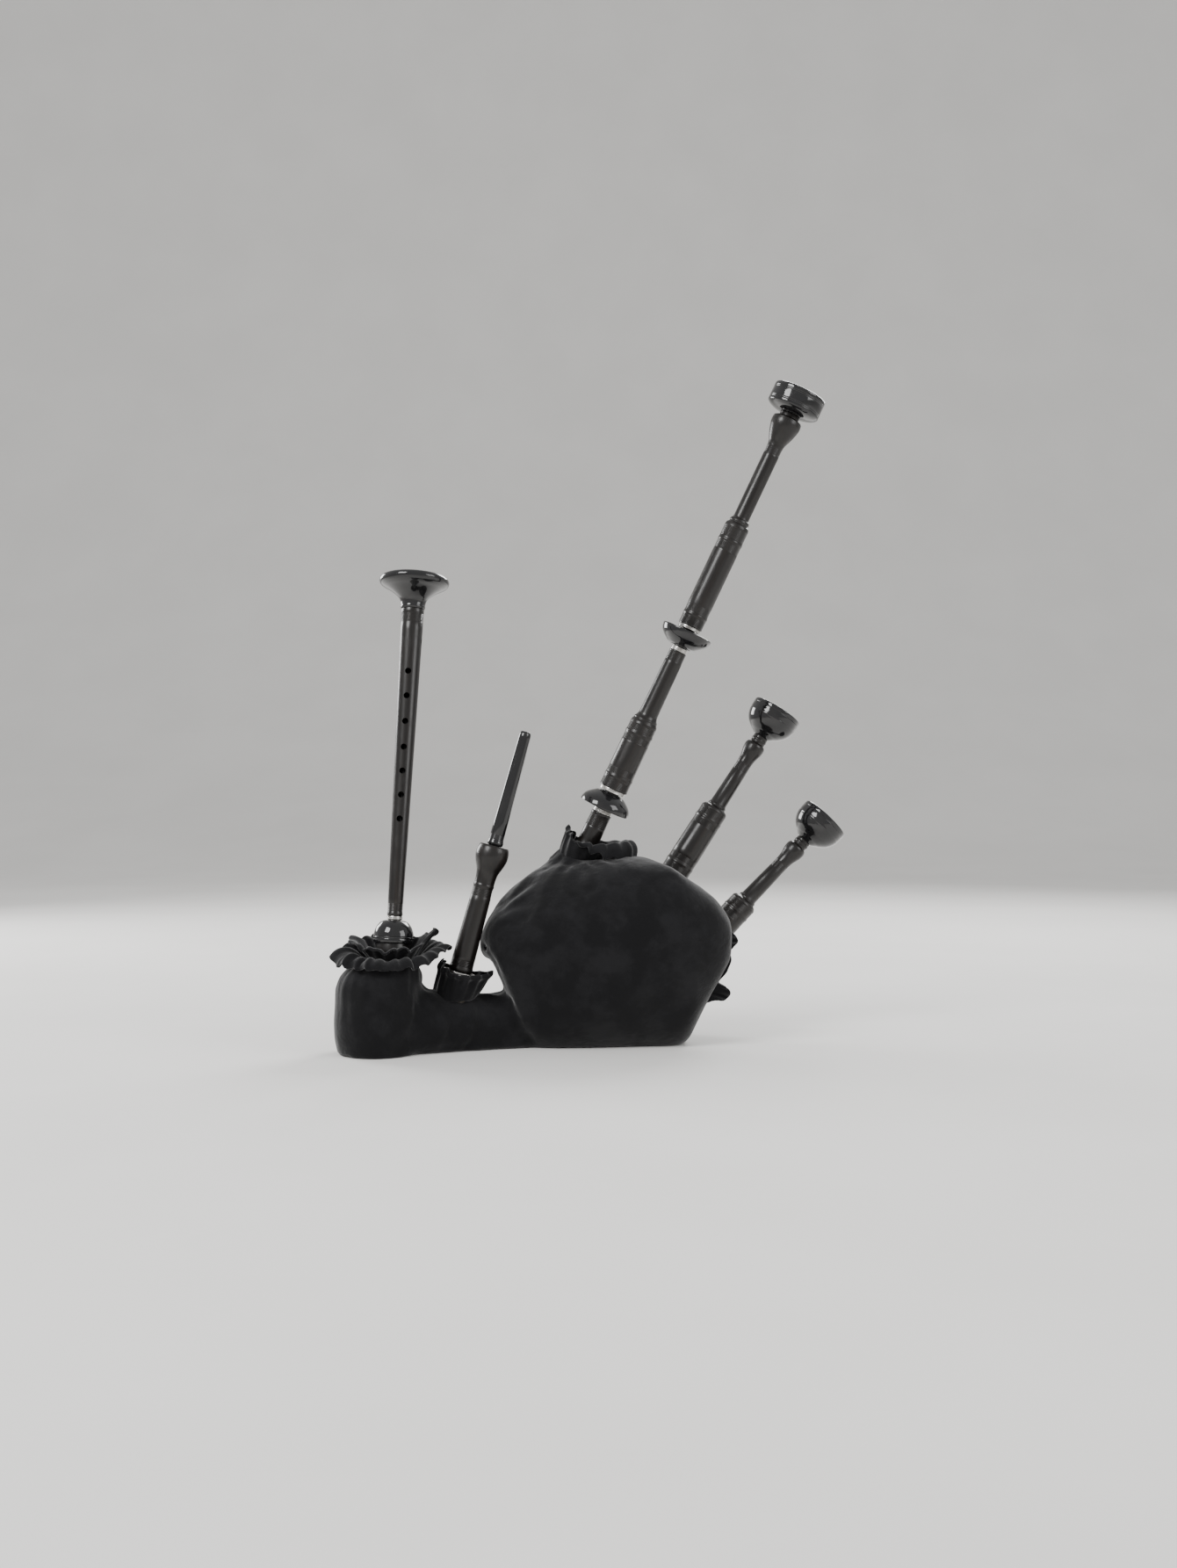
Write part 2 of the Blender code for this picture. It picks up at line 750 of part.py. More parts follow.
def build():
    clear_scene()
    axes = {
        "bass": axis_empty("bass_axis", BASS_FOOT, BASS_WAY),
        "tenor_1": axis_empty("tenor_1_axis", TENOR_1_FOOT, TENOR_1_WAY),
        "tenor_2": axis_empty("tenor_2_axis", TENOR_2_FOOT, TENOR_2_WAY),
        "chanter": axis_empty("chanter_axis", CHANTER_FOOT, CHANTER_WAY),
        "blowpipe": axis_empty("blowpipe_axis", BLOWPIPE_FOOT, BLOWPIPE_WAY),
    }
    valve_axis = axis_empty("valve_axis", BLOWPIPE_FOOT, BLOWPIPE_WAY)

    stock("bass_stock", axes["bass"], 75)
    stock("tenor_1_stock", axes["tenor_1"], 50)
    stock("tenor_2_stock", axes["tenor_2"], 50)
    stock("blowpipe_stock", axes["blowpipe"], 58)
    chanter_end(axes["chanter"])

    bass_drone(axes["bass"])
    tenor_drone("tenor_1", axes["tenor_1"])
    tenor_drone("tenor_2", axes["tenor_2"])
    chanter(axes["chanter"])
    blowpipe(axes["blowpipe"], valve_axis)

    holes = []
    for name, axis in axes.items():
        low = -60 if name == "chanter" else -40
        holes.append(rod(name + "_hole", HOLE_R, low, 34, axis))
    shell("bag_cover", 0, COVER_T, "velvet", axes, holes)
    shell("leather_bag", COVER_T + BAG_GAP, BAG_T, "leather", axes, holes)

    clear = helper(bag_skin("cover_clearance", -RUNNING, "velvet", axes))
    chanter_clear = rod("chanter_cuff_hole", 21.7, -60, 60, axes["chanter"])
    bass_clear = rod("bass_cuff_hole", HOLE_R, -60, 80, axes["bass"])
    blowpipe_clear = rod("blowpipe_cuff_hole", HOLE_R, -60, 80, axes["blowpipe"])
    frill("chanter_frill", (-206, -95, 87), -0.18, (46, 60), (0, 34), 7, "velvet", (chanter_clear, clear))
    frill("bass_frill", (10, -22, 186), 0.24, (37, 44), (0, 41), 6, "velvet", (bass_clear, clear))
    frill("blowpipe_frill", (-127, -73, 50), 0.20, (24, 28), (0, 30), 5, "velvet", (blowpipe_clear, clear))
    seam_frill((clear,))


build()
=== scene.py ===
import json
from math import cos, pi, radians, sin, tau

import bpy
import numpy as np
from mathutils import Matrix, Vector, noise


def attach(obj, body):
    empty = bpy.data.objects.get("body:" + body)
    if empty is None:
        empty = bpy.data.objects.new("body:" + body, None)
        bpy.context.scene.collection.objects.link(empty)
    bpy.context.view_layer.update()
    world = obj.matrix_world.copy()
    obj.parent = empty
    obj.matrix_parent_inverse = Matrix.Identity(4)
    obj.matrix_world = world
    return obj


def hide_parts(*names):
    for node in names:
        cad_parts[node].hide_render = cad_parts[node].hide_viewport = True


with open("model.json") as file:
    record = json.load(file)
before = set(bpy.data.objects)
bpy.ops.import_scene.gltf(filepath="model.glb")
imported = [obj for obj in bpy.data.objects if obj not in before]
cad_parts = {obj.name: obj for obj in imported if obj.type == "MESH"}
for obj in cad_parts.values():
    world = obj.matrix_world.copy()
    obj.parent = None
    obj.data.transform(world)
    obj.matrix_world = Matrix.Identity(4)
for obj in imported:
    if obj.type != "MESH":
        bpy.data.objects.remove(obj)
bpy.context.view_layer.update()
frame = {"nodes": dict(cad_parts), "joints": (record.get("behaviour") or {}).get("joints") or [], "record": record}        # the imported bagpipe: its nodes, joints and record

mm = 0.001
record = frame["record"]
slotOf = {part["node"]: part["material_slot"] for part in record["subparts"]}
bodyOf = {node: body for body, nodes in record["behaviour"]["bodies"].items() for node in nodes}


def pipeFrame(jointName):    # a pipe's own axes: z runs up the pipe from its stock, x to the right
    joint = next(found for found in frame["joints"] if found["name"] == jointName)
    along = Vector(joint["axis"]).normalized()
    right = Vector((0, 1, 0)).cross(along).normalized()
    turn = Matrix((right, along.cross(right), along)).transposed().to_4x4()
    return Matrix.Translation(joint["pos_m"]) @ turn


pipeNames = ("bass", "tenor_1", "tenor_2", "chanter", "blowpipe")
pipes = {name: pipeFrame(name + "_turn") for name in pipeNames}


def pipeOf(node):    # the pipe whose axis a node is turned on
    if node.startswith("mouthpiece") or node.startswith("valve"):
        return "blowpipe"
    return next((name for name in pipes if node.startswith(name)), None)


class Value:    # a node's output, which Python expressions add and multiply
    def __init__(self, finish, socket):
        self.finish, self.socket = finish, socket

    def maths(self, operation, first, second):
        return self.finish.node("Math", {"operation": operation}, {0: first, 1: second})

    def __add__(self, other):
        return self.maths("ADD", self, other)

    def __radd__(self, other):
        return self.maths("ADD", other, self)

    def __sub__(self, other):
        return self.maths("SUBTRACT", self, other)

    def __rsub__(self, other):
        return self.maths("SUBTRACT", other, self)

    def __mul__(self, other):
        return self.maths("MULTIPLY", self, other)

    def __rmul__(self, other):
        return self.maths("MULTIPLY", other, self)


class Finish:    # one material, with its fixed values set on the shader itself
    def __init__(self, name, **fixed):
        self.material = bpy.data.materials.new(name)
        self.material.use_nodes = True
        self.tree = self.material.node_tree
        self.surface = self.tree.nodes["Principled BSDF"]
        for socket, value in fixed.items():
            self.surface.inputs[socket.replace("_", " ")].default_value = value

    def feed(self, socket, value):
        if isinstance(value, Value):
            self.tree.links.new(value.socket, socket)
        else:
            socket.default_value = value

    def node(self, kind, settings=None, inputs=None, output=0):
        made = self.tree.nodes.new("ShaderNode" + kind)
        for key, value in (settings or {}).items():
            setattr(made, key, value)
        for key, value in (inputs or {}).items():
            self.feed(made.inputs[key], value)
        return Value(self, made.outputs[output])

    def place(self, pipe=None):    # object coordinates, turned on to a pipe's own axes
        here = self.node("TexCoord", output=3)
        if pipe is None:
            return here
        matrix = pipes[pipe]
        where = {"Vector": here, "Location": matrix.to_translation(), "Rotation": matrix.to_euler()}
        return self.node("Mapping", {"vector_type": "TEXTURE"}, where)

    def moved(self, here, amount, operation="ADD"):
        return self.node("VectorMath", {"operation": operation}, {0: here, 1: amount})

    def cloud(self, here, scale, detail=3.0, roughness=0.55):    # three scales make streaks
        if isinstance(scale, tuple):
            here, scale = self.moved(here, scale, "MULTIPLY"), 1.0
        inputs = {"Vector": here, "Scale": scale, "Detail": detail, "Roughness": roughness}
        return self.node("TexNoise", None, inputs)

    def edges(self, low, high):    # 1 where the surface turns sharply
        pointiness = 7    # its place among the Geometry node's outputs
        return self.ease(self.node("NewGeometry", output=pointiness), low, high)

    def ease(self, value, low, high):    # 0 below low, 1 above high, smooth between
        settings = {"interpolation_type": "SMOOTHSTEP"}
        return self.node("MapRange", settings, {0: value, 1: low, 2: high})

    def blend(self, factor, first, second):
        first = (*first, 1) if isinstance(first, tuple) else first
        inputs = {0: factor, 6: first, 7: (*second, 1)}    # the colour sockets of a Mix node
        return self.node("Mix", {"data_type": "RGBA"}, inputs, output=2)

    def bump(self, height, depth, strength=1.0):
        return self.node("Bump", None, {"Height": height, "Distance": depth, "Strength": strength})

    def show(self, **varying):
        for socket, value in varying.items():
            self.feed(self.surface.inputs[socket.replace("_", " ")], value)
        return self.material


def blackwoodFinish(pipe):
    look = {
        "heart": (0.0058, 0.0048, 0.0043), "streak": (0.0150, 0.0100, 0.0072),
        "worn": (0.020, 0.017, 0.0145), "polish": 0.25, "grainAcross": 420.0, "grainAlong": 12.0,
        "poreDepth": 0.000025,
    }
    coat = {"Coat_Weight": 0.12, "Coat_Roughness": 0.14}
    wood = Finish("blackwood_" + pipe, Specular_IOR_Level=0.36, **coat)
    here = wood.place(pipe)
    across, along = look["grainAcross"], look["grainAlong"]
    wander = wood.cloud(here, 24.0, 2.0) * 0.004
    grain = wood.cloud(wood.moved(here, wander), (across, across, along), 5.0, 0.62)
    pores = wood.ease(wood.cloud(here, (across * 5, across * 5, along * 5), 2.0), 0.60, 0.70)
    figure = wood.ease(wood.cloud(here, (90, 90, 5)), 0.42, 0.74)
    handled = wood.ease(wood.cloud(here, 42.0, 4.0, 0.65), 0.46, 0.72)
    edges = wood.edges(0.53, 0.60) * (0.35 + handled * 0.65)
    lathe = wood.cloud(here, (0, 0, 2600), 1.0)
    streaks = wood.ease(grain, 0.40, 0.72) * (0.25 + figure * 0.60)
    colour = wood.blend(streaks, look["heart"], look["streak"])
    colour = wood.blend(edges * 0.35, colour, look["worn"])
    rough = look["polish"] + grain * 0.10 + handled * 0.13 + pores * 0.20
    height = grain * 0.30 - pores * 0.9 + lathe * 0.10
    relief = wood.bump(height, look["poreDepth"])
    return wood.show(Base_Color=colour, Roughness=rough, Normal=relief)


def hornFinish(pipe):
    look = {
        "dark": (0.0070, 0.0070, 0.0076), "smoke": (0.020, 0.0185, 0.0180),
        "scuffed": (0.042, 0.041, 0.040), "polish": 0.07, "scratchDepth": 0.00003,
    }
    horn = Finish("horn_" + pipe, Coat_Weight=0.30, Coat_Roughness=0.06, Specular_IOR_Level=0.42)
    here = horn.place(pipe)
    smoke = horn.ease(horn.cloud(here, 46.0, 4.0, 0.6), 0.42, 0.80)
    hair = horn.cloud(here, (900, 900, 6000), 3.0, 0.7)
    scuffs = horn.ease(hair, 0.62, 0.72) * horn.ease(horn.cloud(here, 70.0, 2.0), 0.45, 0.65)
    edges = horn.edges(0.54, 0.62)
    colour = horn.blend(smoke * 0.7, look["dark"], look["smoke"])
    colour = horn.blend(edges * 0.45 + scuffs * 0.25, colour, look["scuffed"])
    rough = look["polish"] + smoke * 0.07 + scuffs * 0.22 + edges * 0.10
    relief = horn.bump(hair * 0.25 - scuffs * 0.8, look["scratchDepth"])
    return horn.show(Base_Color=colour, Roughness=rough, Normal=relief)


def nickelFinish(pipe):
    look = {
        "bright": (0.56, 0.55, 0.53), "dull": (0.27, 0.255, 0.235), "polish": 0.17,
        "lineDepth": 0.00003,
    }
    metal = Finish("nickel_" + pipe, Metallic=1.0)
    here = metal.place(pipe)
    lines = metal.cloud(here, (40, 40, 9000), 2.0)
    dull = metal.ease(metal.cloud(here, 160.0, 5.0, 0.65), 0.42, 0.70)
    colour = metal.blend(dull * 0.8, look["bright"], look["dull"])
    rough = look["polish"] + dull * 0.18 + lines * 0.12
    relief = metal.bump(lines, look["lineDepth"])
    return metal.show(Base_Color=colour, Roughness=rough, Normal=relief)


def velvetFinish(pipe):
    look = {
        "deep": (0.0042, 0.0042, 0.0048), "nap": (0.0100, 0.0100, 0.0114),
        "rubbedAndSheen": (0.026, 0.0255, 0.027), "pileScale": 2600.0, "pileDepth": 0.00035,
        "crushDepth": 0.0011,
    }
    cloth = Finish("velvet", Sheen_Weight=0.30, Sheen_Roughness=0.38, Specular_IOR_Level=0.18)
    here = cloth.place()
    pile = cloth.cloud(here, look["pileScale"], 2.0, 0.6)
    rows = cloth.cloud(cloth.moved(here, (1.0, 1.0, 0.45), "MULTIPLY"), 1500.0, 2.0)
    crushed = cloth.ease(cloth.cloud(here, 34.0, 4.0, 0.6), 0.40, 0.66)
    worn = cloth.ease(cloth.cloud(here, 9.0, 2.0), 0.50, 0.85)
    # painted sheen: the fold ridges, where the surface turns sharply, are lightened in colour
    ridgeSheen = cloth.edges(0.52, 0.60)
    colour = cloth.blend(crushed * 0.55 + pile * 0.30, look["deep"], look["nap"])
    # the lighter colour is partly rubbed wear, in the worn patches, and partly painted sheen, on
    # the fold ridges
    colour = cloth.blend(worn * 0.18 + ridgeSheen * 0.30, colour, look["rubbedAndSheen"])
    rough = 0.97 - crushed * 0.10 - worn * 0.08
    crush = cloth.bump(crushed * 0.6 + cloth.cloud(here, 90.0, 3.0) * 0.5, look["crushDepth"], 0.55)
    fine = cloth.bump(pile * 0.7 + rows * 0.4, look["pileDepth"], 0.6)
    cloth.feed(fine.socket.node.inputs["Normal"], crush)
    return cloth.show(Base_Color=colour, Roughness=rough, Normal=fine)


def hideFinish(pipe):
    look = {
        "dark": (0.026, 0.0165, 0.0115), "light": (0.060, 0.036, 0.022),
        "creaseAndShade": (0.010, 0.007, 0.005), "cellScale": 900.0, "creaseDepth": 0.0003,
    }
    hide = Finish("hide_" + (pipe or "bag"), Specular_IOR_Level=0.45)
    here = hide.place()
    moved = hide.moved(here, hide.cloud(here, 300.0, 2.0) * 0.002)
    settings = {"feature": "DISTANCE_TO_EDGE"}
    cells = hide.node("TexVoronoi", settings, {"Vector": moved, "Scale": look["cellScale"]})
    # the grain's creases: they carry its bump and roughness, and painted shade in its colour
    creaseAndShade = 1 - hide.ease(cells, 0.0, 0.18)
    mottled = hide.ease(hide.cloud(here, 38.0, 5.0, 0.6), 0.38, 0.70)
    colour = hide.blend(mottled * 0.8, look["dark"], look["light"])
    # painted shade: the grain's creases are darkened in colour, on top of their bump
    colour = hide.blend(creaseAndShade * 0.5, colour, look["creaseAndShade"])
    rough = 0.46 + mottled * 0.16 + creaseAndShade * 0.12
    relief = hide.bump(1 - creaseAndShade * 0.8 + mottled * 0.3, look["creaseDepth"])
    return hide.show(Base_Color=colour, Roughness=rough, Normal=relief)


def hempFinish(pipe):
    look = {
        "wax": (0.085, 0.066, 0.040), "fibre": (0.165, 0.130, 0.080),
        "grime": (0.030, 0.024, 0.016),
    }
    hemp = Finish("hemp_" + pipe, Sheen_Weight=0.12, Specular_IOR_Level=0.40)
    here = hemp.place(pipe)
    strands = hemp.cloud(here, (700, 700, 4200), 3.0, 0.6)
    waxed = hemp.ease(hemp.cloud(here, 130.0, 4.0), 0.40, 0.66)
    colour = hemp.blend(hemp.ease(strands, 0.42, 0.68), look["wax"], look["fibre"])
    colour = hemp.blend(waxed * 0.6, colour, look["grime"])
    rough = 0.86 - waxed * 0.30
    return hemp.show(Base_Color=colour, Roughness=rough, Normal=hemp.bump(strands, 0.0002))


def caneFinish(pipe):
    look = {"pale": (0.56, 0.43, 0.21), "ripe": (0.40, 0.265, 0.10), "fleck": (0.15, 0.085, 0.032)}
    cane = Finish("cane_" + pipe, IOR=1.48)
    here = cane.place(pipe)
    fibres = cane.cloud(here, (2400, 2400, 60), 4.0, 0.6)
    ripe = cane.ease(cane.cloud(here, 120.0, 3.0), 0.35, 0.70)
    flecks = cane.ease(cane.cloud(here, (1500, 1500, 240), 2.0), 0.66, 0.74)
    colour = cane.blend(ripe * 0.6 + fibres * 0.3, look["pale"], look["ripe"])
    colour = cane.blend(flecks * 0.8, colour, look["fleck"])
    rough = 0.34 + fibres * 0.25
    return cane.show(Base_Color=colour, Roughness=rough, Normal=cane.bump(fibres, 0.00008))


def rubberFinish(pipe):
    look = {"black": (0.016, 0.016, 0.0165), "bloom": (0.050, 0.050, 0.052)}
    rubber = Finish("rubber_" + pipe, Specular_IOR_Level=0.35)
    here = rubber.place(pipe)
    bloom = rubber.ease(rubber.cloud(here, 260.0, 4.0), 0.48, 0.72)
    grit = rubber.cloud(here, 4200.0, 2.0)
    colour = rubber.blend(bloom * 0.5, look["black"], look["bloom"])
    rough = 0.66 + bloom * 0.16
    return rubber.show(Base_Color=colour, Roughness=rough, Normal=rubber.bump(grit, 0.00006))


makers = {
    "blackwood": blackwoodFinish, "horn": hornFinish, "nickel": nickelFinish,
    "velvet": velvetFinish, "leather": hideFinish, "hemp": hempFinish, "cane": caneFinish,
    "rubber": rubberFinish,
}
finishes = {}


def finishFor(node):    # one material for each pipe, because grain follows the pipe
    key = (slotOf[node], None if slotOf[node] == "velvet" else pipeOf(node))
    if key not in finishes:
        finishes[key] = makers[key[0]](key[1])
    return finishes[key]


def editing(action=None):    # into edit mode, with the selection kept unless an action is given
    bpy.ops.object.mode_set(mode="EDIT")
    if action:
        bpy.ops.mesh.select_all(action=action)


def doneEditing():
    bpy.ops.object.mode_set(mode="OBJECT")


def extruded(x, z):    # what is selected, by so many mm
    bpy.ops.mesh.extrude_region_move(TRANSFORM_OT_translate={"value": (x * mm, 0, z * mm)})


def deselectAll():
    if bpy.context.mode != "OBJECT":
        doneEditing()
    bpy.ops.object.select_all(action="DESELECT")


def choose(obj):
    deselectAll()
    obj.select_set(True)
    bpy.context.view_layer.objects.active = obj


def applyModifiers(obj):
    choose(obj)
    for modifier in list(obj.modifiers):
        bpy.ops.object.modifier_apply(modifier=modifier.name)


def joined(pieces):
    choose(pieces[0])
    for piece in pieces:
        piece.select_set(True)
    bpy.ops.object.join()
    return pieces[0]


def curved(points, steps=5):    # a smooth stretch of outline through its points
    ends = [points[0], *points, points[-1]]
    made = []
    for before, start, end, after in zip(ends, ends[1:], ends[2:], ends[3:]):
        for step in range(steps):
            t = step / steps
            made.append(tuple(
                0.5 * (2 * b + (c - a) * t + (2 * a - 5 * b + 4 * c - d) * t**2
                       + (3 * b - a - 3 * c + d) * t**3)
                for a, b, c, d in zip(before, start, end, after)
            ))
    return [*made, points[-1]]


def combed(start, end, ridges, depth=0.35):    # fine ridges cut side by side
    made = []
    for step in range(ridges * 4 + 1):
        share = step / (ridges * 4)
        radius = start[0] + (end[0] - start[0]) * share - depth * (0.5 - 0.5 * cos(step * pi / 2))
        made.append((radius, start[1] + (end[1] - start[1]) * share))
    return made


def bead(start, end, rise, steps=6):    # a half-round band that stands proud of the outline
    return [
        (start[0] + (end[0] - start[0]) * k / steps + rise * sin(pi * k / steps),
         start[1] + (end[1] - start[1]) * k / steps)
        for k in range(steps + 1)
    ]


def groove(radius, height, width=0.8, depth=0.4):    # one scribed line
    half = width / 2
    return [(radius, height - half), (radius - depth, height), (radius, height + half)]


def eased(outline, reach):    # takes the sharpness off every real corner
    made = []
    count = len(outline)
    for k, corner in enumerate(outline):
        here = Vector(corner)
        back, ahead = Vector(outline[k - 1]) - here, Vector(outline[(k + 1) % count]) - here
        if back.length < 1e-6 or ahead.length < 1e-6 or back.angle(ahead) > radians(150):
            made.append(tuple(here))
            continue
        cut = min(reach, back.length * 0.4, ahead.length * 0.4)
        first, last = here + back.normalized() * cut, here + ahead.normalized() * cut
        made += [tuple(first), tuple((first + last) / 4 + here / 2), tuple(last)]
    return made


def turned(node, outline, steps=56, ease=0.3, keep=False):
    # radius and height in mm on the pipe's axis, extruded edge by edge and spun
    corners = eased(outline, ease)
    corners.append(corners[0])
    deselectAll()
    bpy.ops.mesh.primitive_plane_add(size=mm, location=(corners[0][0] * mm, 0, corners[0][1] * mm))
    piece = bpy.context.object
    piece.name = node + "_turned"
    bpy.ops.object.transform_apply()
    editing("SELECT")
    bpy.ops.mesh.merge(type="CENTER")
    for (r0, z0), (r1, z1) in zip(corners, corners[1:]):
        extruded(r1 - r0, z1 - z0)
    bpy.ops.mesh.select_all(action="SELECT")
    bpy.ops.mesh.remove_doubles(threshold=1e-6)
    bpy.ops.mesh.spin(steps=steps, angle=tau, center=(0, 0, 0), axis=(0, 0, 1))
    bpy.ops.mesh.select_all(action="SELECT")
    bpy.ops.mesh.remove_doubles(threshold=1e-6)
    bpy.ops.mesh.normals_make_consistent(inside=False)
    doneEditing()
    return piece if keep else seated(piece, node)


def seated(piece, node):    # from a pipe's own axes to the world, in place of its CAD node
    choose(piece)
    piece.matrix_world = pipes[pipeOf(node)]
    bpy.ops.object.transform_apply()
    bpy.ops.object.shade_smooth_by_angle(angle=radians(38))
    return standsFor(piece, node)


def standsFor(piece, node):    # its finish, body and slot, as the CAD node it takes over from
    piece.data.materials.clear()
    piece.data.materials.append(finishFor(node))
    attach(piece, bodyOf[node])
    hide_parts(node)
    return piece


def wound(node, inner, outer, low, high, pitch=0.9):    # thread, a turn beside a turn
    turns = round((high - low) / pitch)
    lay = (high - low) / turns
    thread = 0.32    # how far a turn stands out
    ridges = []
    for k in range(turns):
        for share, rise in ((0.0, 0.0), (0.25, 0.75), (0.5, 1.0), (0.75, 0.75)):
            ridges.append((outer - thread * (1 - rise), low + (k + share) * lay))
    outline = [(inner, low), *ridges, (outer - thread, high), (inner, high)]
    return turned(node, outline, steps=40, ease=0.0)


def metalRing(node, inner, outer, low, high, lines=2):    # a ferrule with scribed lines
    tall = high - low
    outline = [(inner, low), (outer - 0.1, low)]
    for k in range(lines):
        outline += groove(outer, low + tall * (k + 1) / (lines + 1), 0.5, 0.22)
    return turned(node, [*outline, (outer - 0.1, high), (inner, high)], ease=0.22)


def stock(node, length):
    look = {
        "radius": 17.0, "seat": 16.0, "bore": 9.8, "wideBore": 11.4, "groove": (-34, -16),
        "ringTop": -0.6, "ringFoot": -9.0, "chamfer": 3.0,
    }
    r, seat, bore, wide = look["radius"], look["seat"], look["bore"], look["wideBore"]
    low, (tieLow, tieHigh) = -length, look["groove"]
    turned(node, [
        (wide, low), (r - 1.5, low), (r, low + look["chamfer"]), (r, tieLow), (r - 1.2, tieLow + 2),
        (r - 1.2, tieHigh - 2), (r, tieHigh),
        *combed((r, tieHigh + 1.2), (r, look["ringFoot"] - 1.0), 4), (r, look["ringFoot"] - 0.3),
        (seat, look["ringFoot"] - 0.3), (seat, look["ringTop"]), (bore, look["ringTop"]),
        (bore, -30), (wide, -32),
    ])
    metalRing(node + "_ring", seat + 0.3, r + 1.0, look["ringFoot"], look["ringTop"], 3)
    wound(node + "_binding", r + 0.3, r + 2.8, tieLow + 1, tieHigh - 1, 1.3)


def projectingMount(node, low, bore, high, turnedDown):
    # drawn with its rim up, by height above its foot, and flipped where it hangs
    look = {
        "under": [(15.6, 1.7), (20.5, 5.2), (24.2, 8.5), (26.2, 11.5), (27.3, 14.6)],
        "rim": [(27.6, 16.6), (27.55, 17.9), (26.6, 18.5), (25.6, 18.2)],
        "dish": [(25.0, 17.7), (22.8, 15.7), (20.0, 14.6), (16.9, 14.4), (14.4, 15.2)],
    }
    tall = high - low
    outline = [(bore, 0), (10.9, 0), *bead((11.2, 0.2), (11.6, 0.9), 0.25, 4)]
    outline += [*curved(look["under"]), *curved(look["rim"], 3), *curved(look["dish"])]
    outline += [(13.7, tall - 2.6), *bead((13.4, tall - 2.3), (13.1, tall - 0.5), 0.3, 4)]
    outline += [(12.7, tall), (bore, tall)]
    if turnedDown:
        outline = [(radius, tall - height) for radius, height in outline]
    return turned(node, [(radius, low + height) for radius, height in outline], steps=72, ease=0.2)


def tenon(low, high, ridges):    # combed, so that thread grips it
    radius = 9.4
    combs = combed((radius, low + 4), (radius, high - 2), ridges, 0.25)
    return [(radius - 0.8, low), (radius, low + 2), *combs, (radius, high)]


